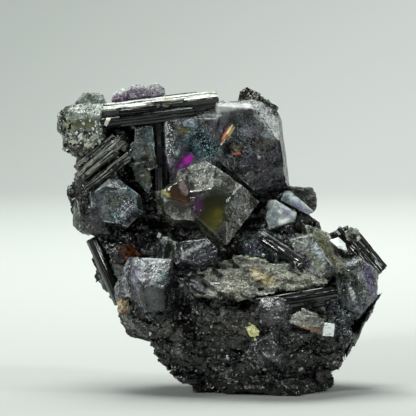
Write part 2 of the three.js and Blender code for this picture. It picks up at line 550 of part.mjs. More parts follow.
// Each crystal keeps its shape where it meets one that is named before it here
const minerals = [
  ["big_fluorite", bigFluorite, fluoriteGrey],
  ["front_fluorite", frontFluorite, fluoriteOlive],
  ["left_fluorite", leftFluorite, fluoriteGrey],
  ["white_fluorite", whiteFluorite, fluoritePale],
  ["top_schorl", topSchorl, schorlBlack],
  ["left_schorl", leftSchorl, schorlBlack],
  ["upright_schorl", uprightSchorl, schorlBlack],
  ["middle_fluorite", middleFluorite, fluoriteGrey],
  ["pale_fluorite", paleFluorite, fluoritePale],
  ["top_fluorite", topFluorite, fluoritePurple],
  ["crest_schorl", crestSchorl, schorlBrown],
  ["blade_fluorite", bladeFluorite, fluoritePurple],
  ["brown_schorl", brownSchorl, schorlBrown],
  ["stub_schorl", stubSchorl, schorlBlack],
  ["ridge_fluorite", ridgeFluorite, fluoriteGrey],
  ["corner_fluorite", cornerFluorite, fluoriteGrey],
  ["point_fluorite", pointFluorite, fluoritePale],
  ["sharp_schorl", sharpSchorl, schorlBlack],
  ["slope_fluorite", slopeFluorite, fluoritePale],
  ["olive_fluorite", oliveFluorite, fluoriteOlive],
  ["right_fluorite", rightFluorite, fluoritePale],
  ["cap_fluorite", capFluorite, fluoritePale],
  ["bright_flake", brightFlake, micaSilver],
  ["shoulder_schorl", shoulderSchorl, schorlBlack],
  ["flank_schorl", flankSchorl, schorlBlack],
  ["shelf_schorl", shelfSchorl, schorlBlack],
  ["edge_schorl", edgeSchorl, schorlBlack],
  ["edge_fluorite", edgeFluorite, fluoritePale],
  ["upper_knob", upperKnob, fluoriteGrey],
  ["lower_knob", lowerKnob, fluoriteGrey],
  ["feldspar_wedge", feldsparWedge, feldsparGrey],
  ["mica_flake", micaFlake, micaSilver],
  ["rust_grain", rustGrain, grainRust],
  ["yellow_grain", yellowGrain, grainYellow],
  ["feldspar_shelf", feldsparShelf, feldsparGrey],
  ["back_fluorite_high", backFluoriteHigh, fluoriteGrey],
  ["back_fluorite_low", backFluoriteLow, fluoriteGrey],
  ["back_fluorite_small", backFluoriteSmall, fluoritePurple],
  ["back_schorl_high", backSchorlHigh, schorlBlack],
  ["back_schorl_low", backSchorlLow, schorlBlack],
  ["back_schorl_base", backSchorlBase, schorlBlack],
];

function largestPiece(solid) {
  return solid.decompose().sort((a, b) => b.volume() - a.volume())[0];
}

const specimen = new THREE.Group();

function place(name, solid, finish) {
  const mesh = new THREE.Mesh(geometryOf(solid), new THREE.MeshStandardMaterial(finish));
  mesh.name = name;
  specimen.add(mesh);
}

let taken = null;
for (const [name, make, finish] of minerals) {
  const { solid, room } = make();
  place(name, largestPiece(taken ? solid.subtract(taken) : solid), finish);
  taken = taken ? taken.add(room) : room;
}
place("matrix", largestPiece(rock().subtract(taken).simplify(SEAT_GAP / 8)), rockDark);

export default specimen;
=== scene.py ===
import itertools
import math

import bmesh
import bpy
import numpy as np
from mathutils import Matrix, Vector, kdtree


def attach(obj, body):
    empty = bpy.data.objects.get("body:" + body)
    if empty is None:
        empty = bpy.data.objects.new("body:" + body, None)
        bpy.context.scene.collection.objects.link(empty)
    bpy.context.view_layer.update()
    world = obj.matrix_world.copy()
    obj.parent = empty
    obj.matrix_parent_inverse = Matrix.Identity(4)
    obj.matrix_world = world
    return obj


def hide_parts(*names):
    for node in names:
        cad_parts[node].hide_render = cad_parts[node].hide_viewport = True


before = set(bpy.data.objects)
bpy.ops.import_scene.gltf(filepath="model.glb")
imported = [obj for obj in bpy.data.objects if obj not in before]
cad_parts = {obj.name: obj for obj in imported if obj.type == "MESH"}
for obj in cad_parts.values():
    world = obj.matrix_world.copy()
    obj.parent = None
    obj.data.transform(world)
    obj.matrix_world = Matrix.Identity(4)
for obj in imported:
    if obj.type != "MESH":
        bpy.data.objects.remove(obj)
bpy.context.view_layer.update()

# The specimen is seen from the front and a little above, with its show face square to the camera.
# The picture is 416 pixels wide, and at the specimen that is 56 mm.
MM = 0.001
PICTURE_WIDTH = 56.16 * MM
VIEW_DISTANCE = 320 * MM
VIEW_HEIGHT = math.radians(4)
PICTURE_MIDDLE = Vector((-5.67, 0, 24.84)) * MM

camera = bpy.data.objects.new("camera", bpy.data.cameras.new("camera"))
bpy.context.scene.collection.objects.link(camera)
bpy.context.scene.camera = camera
towards_camera = Vector((0, -math.cos(VIEW_HEIGHT), math.sin(VIEW_HEIGHT)))
camera.location = PICTURE_MIDDLE + VIEW_DISTANCE * towards_camera
camera.rotation_euler = (-towards_camera).to_track_quat("-Z", "Y").to_euler()
camera.data.lens = camera.data.sensor_width * VIEW_DISTANCE / PICTURE_WIDTH
camera.data.clip_start = 10 * MM
bpy.context.scene.view_settings.view_transform = "Standard"


# The floor and the backdrop are one sheet of pale paper that curves up behind the specimen. Painted shade
# makes it a little greyer at the upper left and darker on the floor towards the front. Every finish in this
# file is a Surface, and its values are Wires between nodes.
def paint(colour):
    """The light of a colour that is given as levels of red, green and blue. A Wire stays as it is."""
    if isinstance(colour, Wire):
        return colour
    shares = [level / 255 for level in colour]
    linear = [s / 12.92 if s <= 0.04045 else ((s + 0.055) / 1.055) ** 2.4 for s in shares]
    return (*linear, 1.0)


class Wire:
    def __init__(self, surface, socket):
        self.surface = surface
        self.socket = socket

    def maths(self, operation, *values):
        return self.surface.node("ShaderNodeMath", {"operation": operation}, dict(enumerate(values)))

    def __add__(self, other):
        return self.maths("ADD", self, other)

    def __radd__(self, other):
        return self.maths("ADD", other, self)

    def __sub__(self, other):
        return self.maths("SUBTRACT", self, other)

    def __rsub__(self, other):
        return self.maths("SUBTRACT", other, self)

    def __mul__(self, other):
        return self.maths("MULTIPLY", self, other)

    def __rmul__(self, other):
        return self.maths("MULTIPLY", other, self)

    def most(self, other):
        return self.maths("MAXIMUM", self, other)

    def clamped(self, low=0.0, high=1.0):
        return self.surface.node("ShaderNodeClamp", {}, {"Value": self, "Min": low, "Max": high})


PRINCIPLED_NAMES = {"Ior": "IOR", "Specular": "Specular IOR Level", "Transmission": "Transmission Weight"}


class Surface:
    def __init__(self, name):
        self.material = bpy.data.materials.new(name)
        self.material.use_nodes = True
        self.tree = self.material.node_tree
        self.tree.nodes.clear()

    def node(self, kind, settings, sockets, output=0):
        made = self.tree.nodes.new(kind)
        for name, value in settings.items():
            setattr(made, name, value)
        for key, value in sockets.items():
            if isinstance(value, Wire):
                self.tree.links.new(value.socket, made.inputs[key])
            else:
                made.inputs[key].default_value = value
        return Wire(self, made.outputs[output])

    def vectors(self, operation, *values, output=0):
        return self.node("ShaderNodeVectorMath", {"operation": operation}, dict(enumerate(values)), output)

    def place(self):
        """Where a point of the specimen is, in millimetres."""
        metres = self.node("ShaderNodeTexCoord", {}, {}, "Object")
        return self.vectors("MULTIPLY", metres, (1 / MM,) * 3)

    def mix(self, share, first, second):
        colours = {0: share, 6: paint(first), 7: paint(second)}
        return self.node("ShaderNodeMix", {"data_type": "RGBA"}, colours, 2)

    def step(self, value, low, high):
        """0 below low, 1 above high, and smooth between them."""
        limits = {"Value": value, "From Min": low, "From Max": high}
        return self.node("ShaderNodeMapRange", {"interpolation_type": "SMOOTHSTEP"}, limits)

    def noise(self, place, size, detail=3.0, output=0):
        sockets = {"Vector": place, "Scale": 1 / size, "Detail": detail}
        return self.node("ShaderNodeTexNoise", {}, sockets, output)

    def cells(self, place, size, output="Distance", feature="F1"):
        sockets = {"Vector": place, "Scale": 1 / size}
        return self.node("ShaderNodeTexVoronoi", {"feature": feature}, sockets, output)

    def bump(self, height, depth, normal=None):
        sockets = {"Height": height, "Distance": depth * MM, "Strength": 1.0}
        if normal:
            sockets["Normal"] = normal
        return self.node("ShaderNodeBump", {}, sockets)

    def principled(self, base_color, **sockets):
        named = {"Base Color": paint(base_color)}
        for name, value in sockets.items():
            plain = name.replace("_", " ").title()
            named[PRINCIPLED_NAMES.get(plain, plain)] = value
        return self.node("ShaderNodeBsdfPrincipled", {}, named)

    def solid(self, colour, roughness, normal, ior, **more):
        """The finish of a mineral that light doesn't pass through."""
        look = self.principled(base_color=colour, roughness=roughness, normal=normal, ior=ior, **more)
        return self.finish(look)

    def finish(self, shader, inside=None):
        sockets = {"Surface": shader}
        if inside:
            sockets["Volume"] = inside
        out = self.tree.nodes.new("ShaderNodeOutputMaterial")
        for name, wire in sockets.items():
            self.tree.links.new(wire.socket, out.inputs[name])
        return self.material


PAPER_HALF_WIDTH = 900 * MM
PAPER_FRONT = -700 * MM
PAPER_BEND = 420 * MM
PAPER_BEND_RADIUS = 250 * MM
PAPER_HEIGHT = 900 * MM
PAPER_BEND_STEPS = 24

paper_line = [(PAPER_FRONT, 0.0), (PAPER_BEND, 0.0)]
for step in range(1, PAPER_BEND_STEPS + 1):
    turned = math.pi / 2 * step / PAPER_BEND_STEPS
    paper_line.append((
        PAPER_BEND + PAPER_BEND_RADIUS * math.sin(turned),
        PAPER_BEND_RADIUS * (1 - math.cos(turned)),
    ))
paper_line.append((PAPER_BEND + PAPER_BEND_RADIUS, PAPER_HEIGHT))
paper_mesh = bpy.data.meshes.new("paper")
paper_mesh.from_pydata(
    [(side * PAPER_HALF_WIDTH, y, z) for y, z in paper_line for side in (-1, 1)],
    [],
    [(2 * i, 2 * i + 1, 2 * i + 3, 2 * i + 2) for i in range(len(paper_line) - 1)],
)
paper_mesh.shade_smooth()
paper = bpy.data.objects.new("paper", paper_mesh)
bpy.context.scene.collection.objects.link(paper)

surface = Surface("pale_paper")
# Painted shade: the paper is greyer towards the upper left.
across = surface.vectors("DOT_PRODUCT", surface.place(), (0.45, 0.0, -0.55), output="Value")
shade = surface.mix(surface.step(across, -90, 40), (208, 211, 210), (238, 238, 238))
# Painted shade: the floor is darker towards the front.
depth = surface.vectors("DOT_PRODUCT", surface.place(), (0.0, 1.0, 0.0), output="Value")
shade = surface.mix(surface.step(depth, -120, 420), (164, 165, 164), shade)
paper.data.materials.append(surface.finish(surface.principled(base_color=shade, roughness=0.9, specular=0.1)))


# The studio light: a soft light above, one from the front left, a weaker one from the right and one
# for the backdrop alone. The room in front is dim, so black faces that look at it stay black.
LIGHT_COLOUR = (0.94, 1.0, 0.95)


def soft_light(name, place, target, size, power):
    lamp = bpy.data.lights.new(name, "AREA")
    lamp.shape = "RECTANGLE"
    lamp.size, lamp.size_y = (side * MM for side in size)
    lamp.energy = power
    lamp.color = LIGHT_COLOUR
    made = bpy.data.objects.new(name, lamp)
    made.location = Vector(place) * MM
    made.rotation_euler = (Vector(target) * MM - made.location).to_track_quat("-Z", "Y").to_euler()
    bpy.context.scene.collection.objects.link(made)


SPECIMEN_MIDDLE = (-4, 0, 22)
soft_light("light_above", (-60, 40, 380), SPECIMEN_MIDDLE, (190, 250), 1.9)
soft_light("light_left", (-260, -290, 230), SPECIMEN_MIDDLE, (50, 70), 1.0)
soft_light("light_right", (310, -120, 210), SPECIMEN_MIDDLE, (50, 70), 0.5)
soft_light("light_paper", (60, 180, 460), (60, 620, 40), (420, 160), 1.15)
room = bpy.data.worlds.new("room")
room.use_nodes = True
room.node_tree.nodes["Background"].inputs["Color"].default_value = (*LIGHT_COLOUR, 1.0)
room.node_tree.nodes["Background"].inputs["Strength"].default_value = 0.07
bpy.context.scene.world = room


# The matrix: dark rock of fine schorl and feldspar, broken into blocks and ledges that dip a little to the
# right. It is one solid, its surface is broken up here at four sizes, and it is cut flat where it stands.
def chance(cells, seed):
    """A repeatable number from 0 to 1 for each cell of whole numbers."""
    key = cells[:, 0] * 73856093 ^ cells[:, 1] * 19349663 ^ cells[:, 2] * 83492791 ^ seed * 26544357
    for shift, factor in ((15, 739982445), (12, 695872825)):
        key = ((key ^ (key >> shift)) * factor) & 0xFFFFFFFF
    return ((key ^ (key >> 15)) & 0xFFFFFF) / 0xFFFFFF


def broken(points, size, seed):
    """The height of a surface broken into tilted blocks of a size, from -1 to 1."""
    home = np.floor(points / size).astype(np.int64)
    nearest = np.full(len(points), np.inf)
    height = np.zeros(len(points))
    for move in itertools.product((-1, 0, 1), repeat=3):
        cell = home + np.array(move)
        spot = (cell + np.stack([chance(cell, seed + k) for k in range(3)], axis=1)) * size
        away = points - spot
        distance = (away**2).sum(axis=1)
        nearer = distance < nearest
        tilt = np.stack([chance(cell, seed + 3 + k) - 0.5 for k in range(3)], axis=1)
        level = 2 * (away * tilt).sum(axis=1) / size + 1.2 * (chance(cell, seed + 6) - 0.5)
        height[nearer] = level[nearer]
        nearest[nearer] = distance[nearer]
    return np.clip(height, -1, 1)


def drift(points, size, seed):
    """A smooth chance value from -1 to 1 that changes over a size."""
    home = np.floor(points / size).astype(np.int64)
    share = points / size - home
    share = share * share * (3 - 2 * share)
    total = np.zeros(len(points))
    for corner in itertools.product((0, 1), repeat=3):
        weight = np.prod(np.where(np.array(corner) == 1, share, 1 - share), axis=1)
        total += weight * chance(home + np.array(corner), seed)
    return 2 * total - 1


def near(places, zones):
    """How much of each place lies in a list of zones, each a middle, a reach and a weight."""
    total = np.zeros(len(places))
    for middle, reach, weight in zones:
        away = ((places - np.array(middle)) ** 2).sum(axis=1)
        total += weight * np.exp(-away / reach**2)
    return total


def columns(mesh, kind="co"):
    """A mesh's points in millimetres, or its normals."""
    values = np.zeros(len(mesh.vertices) * 3)
    if kind == "normal":
        mesh.vertex_normals.foreach_get("vector", values)
        return values.reshape(-1, 3)
    mesh.vertices.foreach_get("co", values)
    return values.reshape(-1, 3) / MM


def move_points(mesh, points):
    mesh.vertices.foreach_set("co", (points * MM).ravel())
    mesh.update()


def even_mesh(name, source, grid):
    """A copy of a solid's mesh with faces of one size all over."""
    holder = bpy.data.objects.new(name, source.copy())
    bpy.context.scene.collection.objects.link(holder)
    remesh = holder.modifiers.new("even", "REMESH")
    remesh.mode = "VOXEL"
    remesh.voxel_size = grid * MM
    evened = holder.evaluated_get(bpy.context.evaluated_depsgraph_get())
    mesh = bpy.data.meshes.new_from_object(evened)
    bpy.data.objects.remove(holder)
    mesh.name = name
    return mesh


def show(name, mesh, material, slot, *nodes, smooth=False):
    """Puts a finished mesh in its place on the specimen, for the solids that it stands for."""
    piece = bpy.data.objects.new(name, mesh)
    bpy.context.scene.collection.objects.link(piece)
    if smooth:
        mesh.shade_smooth()
    else:
        mesh.shade_flat()
    mesh.materials.clear()
    mesh.materials.append(material)
    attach(piece, "root")
    if nodes:
        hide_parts(*nodes)
    return piece


def warped(surface, place, size, amount):
    """The place, shifted at random by up to about half an amount, so that painted edges are ragged."""
    shift = surface.vectors("SUBTRACT", surface.noise(place, size, 3.0, "Color"), (0.5, 0.5, 0.5))
    return surface.vectors("MULTIPLY_ADD", shift, (amount,) * 3, place)


def facet_normal(surface, place, size, tilt, own=None):
    """The surface's own normal, turned a little at random in each cell, as on a broken crystal."""
    own = own or surface.node("ShaderNodeNewGeometry", {}, {}, "Normal")
    turned = surface.vectors("SUBTRACT", surface.cells(place, size, "Color"), (0.5, 0.5, 0.5))
    tilt = tilt if isinstance(tilt, Wire) else (tilt,) * 3
    leaned = surface.vectors("MULTIPLY_ADD", turned, tilt, own)
    return surface.vectors("NORMALIZE", leaned)


def streak(surface, place, start, end, width):
    """1 on the line from start to end and 0 beyond its width. A spot has its start for its end."""
    start, end = Vector(start), Vector(end)
    away = surface.vectors("SUBTRACT", place, tuple(start))
    if end != start:
        line = (end - start).normalized()
        along = surface.vectors("DOT_PRODUCT", away, tuple(line), output="Value")
        along = along.clamped(0.0, (end - start).length)
        scale = {"operation": "SCALE"}
        on_line = surface.node("ShaderNodeVectorMath", scale, {0: tuple(line), "Scale": along})
        away = surface.vectors("SUBTRACT", away, on_line)
    return 1 - surface.step(surface.vectors("LENGTH", away, output="Value"), 0.25 * width, width)


def channels(surface, colour):
    """The red, green and blue of a colour, as three chance values."""
    return [surface.node("ShaderNodeSeparateColor", {}, {0: colour}, index) for index in range(3)]


def cell_chance(surface, place, size):
    """One chance value for each cell of a size."""
    return channels(surface, surface.cells(place, size, "Color"))[0]


ROCK_GRID = 0.25
ROCK_SWELL = 0.14
ROCK_DIP = np.array([[0.98, 0, 0.17], [0, 1, 0], [-0.17, 0, 0.98]])
ROCK_LEDGE_STRETCH = np.array([0.42, 0.7, 1.25])
rock_hollows = [
    ((2.8, -9, 11.8), 2.2, 0.5), ((2.2, -8.4, 6.8), 2.4, 0.5), ((-6, -6, 2.2), 3, 0.5),
    ((-13, -6, 13), 2.4, 0.3), ((-0.4, -8.6, 9.6), 1.8, -0.2), ((7, -8.6, 10.4), 2.2, 0.1),
    ((-21.4, 0.4, 21.6), 2.6, -0.8),
]
smooth_outlines = [
    ((-24.4, 0, 28), 2.6, 2), ((-24, 0, 24.8), 2, 0.8), ((-21, 0, 18.5), 3, 2), ((-18.4, 0, 13), 2.6, 2),
    ((9, 0, 22), 3, 2),
]

rock_mesh = even_mesh("rock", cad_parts["matrix"].data, ROCK_GRID)
points = columns(rock_mesh)
relief = ROCK_SWELL + 0.62 * broken(points @ ROCK_DIP * ROCK_LEDGE_STRETCH, 2.1, 10)
relief += 0.22 * broken(points @ ROCK_DIP * ROCK_LEDGE_STRETCH, 1.0, 30)
relief += 0.4 * broken(points @ ROCK_DIP, 4.6, 71)
relief += 0.06 * broken(points, 0.7, 50)
relief *= 1 - 0.8 * np.clip(near(points, smooth_outlines), 0, 1)
relief -= near(points, rock_hollows)
points += columns(rock_mesh, "normal") * relief[:, None]
points[:, 2] = np.maximum(points[:, 2], 0)
move_points(rock_mesh, points)

SCHORL_IOR = 1.64
BLACK = (7, 8, 8)
RUST = (150, 84, 36)
rock_tints = [
    ((-10.5, -7, 9.4), (-1, -8, 9.6), 1.5, (92, 88, 76), 0.6),
    ((-9.5, -6.5, 6.4), (-4.6, -7, 4.8), 2, (66, 66, 62), 0.5),
    ((-16.8, -3, 10.6), (-15.4, -3.4, 9.8), 1.1, (120, 126, 112), 0.8),
    ((2.6, -8.5, 13), (4.2, -8, 5), 3, (74, 70, 74), 0.6),
    ((6, -7, 7), (10, -6, 5), 3, (46, 48, 46), 0.5),
    ((0.6, -4, 22), (3.4, -5, 18.4), 2.4, (92, 106, 108), 0.7),
    ((6.6, -5, 18), (11.4, -5, 15.6), 2.4, (104, 106, 98), 0.6),
    ((-13.2, 0, 35.4), (-12.6, 0, 34), 1.5, (52, 82, 92), 0.8),
    ((-16.6, -2, 28.6), (-15.8, -2, 27), 1.2, (64, 104, 116), 0.8),
    ((-16.4, -1, 19), (-15.8, -1, 17.8), 1.2, RUST, 0.7),
    ((-21.2, 0, 18), (-20.6, 0, 17.4), 0.8, RUST, 0.8),
    ((0.6, -7, 19.8), (0.2, -7, 19.2), 0.7, RUST, 0.6),
    ((-17, -2, 14.6), (-16.6, -3, 11.6), 0.8, RUST, 0.6),
    ((-19.4, 0, 16), (-17.4, -2, 15.4), 1.8, (112, 118, 112), 0.8),
]

surface = Surface("dark_rock")
place = surface.place()
ragged = warped(surface, place, 0.8, 2.4)
grain_red, grain_green, grain_blue = channels(surface, surface.cells(place, 0.45, "Color"))
speck = cell_chance(surface, place, 0.24)
patch = surface.noise(place, 2.4, 5.0)
fine = surface.noise(place, 0.3, 5.0)
sugary = surface.step(surface.noise(place, 3.0, 3.0), 0.47, 0.6)
colour = surface.mix(surface.step(patch, 0.45, 0.7) * sugary, BLACK, (26, 27, 25))
for start, end, width, tint, strength in rock_tints:
    cover = streak(surface, ragged, start, end, width * 1.3) * surface.step(fine + grain_blue * 0.5, 0.4, 0.7)
    colour = surface.mix(cover * strength, colour, tint)
sandy = surface.step(grain_red, 0.84, 0.9) * sugary
colour = surface.mix(sandy * fine, colour, (116, 116, 110))
rusty = surface.step(grain_green, 0.985, 0.995) * surface.step(patch, 0.52, 0.6)
colour = surface.mix(rusty * 0.6, colour, (110, 82, 52))
colour = surface.mix(surface.step(speck, 0.975, 0.99) * 0.8, colour, (150, 154, 152))
roughness = 0.05 + 0.12 * surface.noise(place, 0.7, 3.0) + 0.15 * sugary
ledges = surface.noise(surface.vectors("MULTIPLY", ragged, (0.35, 0.7, 1.6)), 0.35, 3.0)
grain_height = ledges + fine * sugary
normal = facet_normal(surface, place, 0.8, 0.6)
normal = facet_normal(surface, place, 0.3, surface.step(patch, 0.42, 0.6) * 0.9, normal)
normal = surface.bump(grain_height, 0.08, normal)
show("rock", rock_mesh, surface.solid(colour, roughness, normal, SCHORL_IOR), "dark_matrix", "matrix")


# Loose-looking splinters of schorl and small broken grains stand on the rock all over. They grew with it, or
# are what is left of crystals that broke off it. Each kind is one joined mesh of many small prisms.
def face_spots(mesh, count, random, favour):
    """Places on a mesh and the way it looks there, more of them where favour is high."""
    found = {}
    for kind, width in (("center", 3), ("normal", 3), ("area", 1)):
        values = np.zeros(len(mesh.polygons) * width)
        mesh.polygons.foreach_get(kind, values)
        found[kind] = values.reshape(-1, width)
    places = found["center"] / MM
    weights = found["area"][:, 0] * favour(places) * (places[:, 2] > 0.7)
    chosen = random.choice(len(weights), count, p=weights / weights.sum())
    return places[chosen], found["normal"][chosen]


def unit(ways):
    return ways / np.linalg.norm(ways, axis=1, keepdims=True)


def prisms(name, places, ways, lengths, radii, random, sides=5):
    """One mesh of many small broken prisms, each with its middle, direction, length and radius."""
    count = len(places)
    ways = unit(ways)
    across = unit(np.cross(ways, random.normal(size=(count, 3))))
    third = np.cross(ways, across)
    angles = 2 * math.pi * (np.arange(sides) + random.uniform(-0.25, 0.25, (count, sides))) / sides
    flat = random.uniform(0.45, 1.0, (count, 1))
    rings = []
    for end in (-0.5, 0.5):
        reach = radii[:, None] * random.uniform(0.55, 1.0, (count, 1))
        along = lengths[:, None] * end + radii[:, None] * random.uniform(-0.6, 0.6, (count, sides))
        ring = places[:, None, :] + ways[:, None, :] * along[..., None]
        ring = ring + across[:, None, :] * (reach * np.cos(angles))[..., None]
        ring = ring + third[:, None, :] * (reach * flat * np.sin(angles))[..., None]
        rings.append(ring)
    points = np.concatenate(rings, axis=1).reshape(-1, 3)
    points[:, 2] = np.maximum(points[:, 2], 0.02)
    faces = []
    for base in range(0, len(points), 2 * sides):
        low = [base + side for side in range(sides)]
        high = [base + sides + side for side in range(sides)]
        faces += [low[::-1], high]
        faces += [(low[s], low[(s + 1) % sides], high[(s + 1) % sides], high[s]) for s in range(sides)]
    mesh = bpy.data.meshes.new(name)
    mesh.from_pydata((points * MM).tolist(), [], faces)
    return mesh


def grains(name, count, seed, size, favour, slot, finish, ground=rock_mesh, length=1.3, lift=0.1):
    """Broken grains that stand in a surface, with sizes from the smallest to the largest."""
    random = np.random.default_rng(seed)
    places, normals = face_spots(ground, count, random, favour)
    radii = random.uniform(size[0], size[1], count) * random.uniform(0.6, 1.0, count)
    ways = normals + random.normal(size=(count, 3)) * 0.9
    mesh = prisms(name, places + normals * lift * radii[:, None], ways, radii * length, radii, random)
    show(name, mesh, finish, slot)


def splinter_finish(name, dusty):
    surface = Surface(name)
    place = surface.place()
    fine = surface.noise(place, 0.5, 4.0)
    colour = surface.mix(surface.step(fine, 0.4, 0.7), BLACK, dusty)
    normal = surface.bump(surface.noise(place, 0.12, 3.0), 0.03)
    return surface.solid(colour, 0.06 + 0.2 * fine, normal, SCHORL_IOR)


FELDSPAR_IOR = 1.53
FLUORITE_IOR = 1.434


def grain_finish(name, tones, ior=FELDSPAR_IOR, roughness=0.35):
    """Grains of several colours, which change from one grain to the next."""
    surface = Surface(name)
    place = surface.place()
    pick = cell_chance(surface, place, 0.9)
    colour = tones[0]
    for index, tone in enumerate(tones[1:], 1):
        edge = index / len(tones)
        colour = surface.mix(surface.step(pick, edge - 0.02, edge + 0.02), colour, tone)
    fine = surface.noise(place, 0.25, 4.0)
    colour = surface.mix(surface.step(fine, 0.5, 0.75) * 0.5, colour, (40, 38, 36))
    normal = surface.bump(fine, 0.05, facet_normal(surface, place, 0.2, 0.3))
    return surface.solid(colour, roughness, normal, ior)


def everywhere(places):
    """All over but for the parts of the outline that are smooth."""
    return np.clip(1 - near(places, smooth_outlines), 0, 1)


def lying(name, count, seed, lengths, radii, lift, spread, sides, favour, finish, ground=rock_mesh):
    """Broken prisms that lie in the rock, more or less along its ledges."""
    random = np.random.default_rng(seed)
    places, normals = face_spots(ground, count, random, favour)
    grown = np.array([0.95, 0.05, -0.18]) + random.normal(size=(count, 3)) * spread
    grown -= normals * (grown * normals).sum(axis=1)[:, None] * 0.9
    radii = random.uniform(*radii, count)
    lengths = random.uniform(*lengths, count) * random.uniform(0.6, 1.0, count)
    mesh = prisms(name, places + normals * radii[:, None] * lift, grown, lengths, radii, random, sides)
    show(name, mesh, finish, "black_schorl")


lying("schorl_blocks", count=230, seed=40, lengths=(1, 2.8), radii=(0.3, 0.75), lift=-0.45, spread=0.3,
      sides=6, favour=everywhere, finish=splinter_finish("block_black", (18, 19, 18)))
lying("splinters", count=800, seed=41, lengths=(0.4, 1.6), radii=(0.05, 0.17), lift=0.1, spread=0.4,
      sides=6, favour=everywhere, finish=splinter_finish("splinter_black", (18, 19, 18)))
chip_black = splinter_finish("chip_black", (24, 24, 23))
grains("schorl_chips", count=600, seed=42, size=(0.15, 0.45), lift=-0.1, favour=everywhere,
       slot="black_schorl", finish=chip_black)

sandy_zones = [
    ((-5, -8, 9.6), 3.5, 1.0), ((-8, -7, 5.4), 3.5, 0.6), ((3.4, -8, 9), 4, 0.9), ((9, -5, 16.4), 2.6, 1.4),
    ((2, -5, 20), 2.4, 1.4), ((-17, -3, 13), 1.6, 1.4), ((7, -7, 7), 4, 0.4), ((-22, 0, 30), 3, 0.5),
    ((-8.6, -7, 15), 2, 1.6), ((11.4, -6, 16), 1.6, 1.6), ((-1, -8.6, 12), 2.4, 0.4), ((-16, -3, 10), 1.4, 3),
]
feldspar_tones = [(120, 122, 116), (88, 86, 76), (62, 62, 60), (156, 158, 150), (98, 88, 68)]
grains("feldspar_grains", count=430, seed=43, size=(0.1, 0.36), slot="feldspar",
       favour=lambda places: 0.02 + near(places, sandy_zones),
       finish=grain_finish("grain_feldspar", feldspar_tones))
bluish_zones = [
    ((2, -4.5, 20.4), 2.2, 2.6), ((-12.8, 0, 34.8), 1.3, 2), ((-16.2, -2, 27.6), 1.3, 2),
    ((8.6, -5, 17), 2, 0.5), ((-15, -5, 15), 3, 0.3), ((12.6, -5, 11), 2, 1), ((-9, -7, 15.6), 1.8, 1.4),
]
bluish_tones = [(70, 92, 100), (48, 54, 58), (96, 108, 110), (70, 62, 82)]
grains("bluish_grains", count=520, seed=44, size=(0.12, 0.4), slot="smoky_fluorite",
       favour=lambda places: near(places, bluish_zones),
       finish=grain_finish("grain_bluish", bluish_tones, FLUORITE_IOR, roughness=0.2))
speck_tones = [(200, 204, 202), (170, 172, 168), (226, 228, 226)]
grains("bright_specks", count=240, seed=45, size=(0.08, 0.22), length=0.5, slot="mica",
       favour=lambda places: 0.3 + near(places, sandy_zones),
       finish=grain_finish("speck_bright", speck_tones))


# Schorl prisms: black tourmaline, grooved along their length and broken off ragged at the ends. Each
# bundle is a few stout prisms with many thin laths grown along them.
def rod(body, start, end, radius, seed, turned=None, flat=1.0, sides=36, rings=10, groove=0.05, ragged=0.5):
    """Adds one six-sided grooved prism from start to end, in millimetres, with broken ends."""
    random = np.random.default_rng(seed)
    start, end = Vector(start), Vector(end)
    length = (end - start).length
    turn = Vector((0, 0, 1)).rotation_difference(end - start).to_matrix()
    angles = np.linspace(0, 2 * math.pi, sides, endpoint=False)
    sixth = math.pi / 3
    turned = random.uniform(0, sixth) if turned is None else turned
    outline = math.cos(sixth / 2) / np.cos((angles + turned) % sixth - sixth / 2)
    outline += groove * random.uniform(-1, 1, sides)
    loops = []
    end_tilts = random.uniform(-0.35, 0.35, (2, 2))
    for ring in range(rings + 1):
        share = ring / rings
        swell = 1 + 0.02 * random.uniform(-1, 1)
        loop = []
        for side, angle in enumerate(angles):
            x = radius * outline[side] * swell * math.cos(angle)
            y = radius * outline[side] * swell * flat * math.sin(angle)
            z = length * share
            if ring in (0, rings):
                tilt = end_tilts[0 if ring == 0 else 1]
                z += tilt[0] * x + tilt[1] * y + ragged * radius * 0.3 * random.uniform(-1, 1)
            point = start + turn @ Vector((x, y, z))
            loop.append(body.verts.new(point * MM))
        loops.append(loop)
    for low, high in itertools.pairwise(loops):
        for side in range(sides):
            after = (side + 1) % sides
            body.faces.new((low[side], low[after], high[after], high[side]))
    for loop, shift in ((loops[0], -0.1), (loops[-1], 0.1)):
        middle = sum((v.co for v in loop), Vector()) / sides
        hub = body.verts.new(middle + turn @ Vector((0, 0, shift * radius * MM)))
        for side in range(sides):
            pair = (loop[side], loop[(side + 1) % sides])
            body.faces.new((hub, *pair) if shift > 0 else (hub, *pair[::-1]))


PRISM_IOR = 1.68
LATH_PAST = 0.03


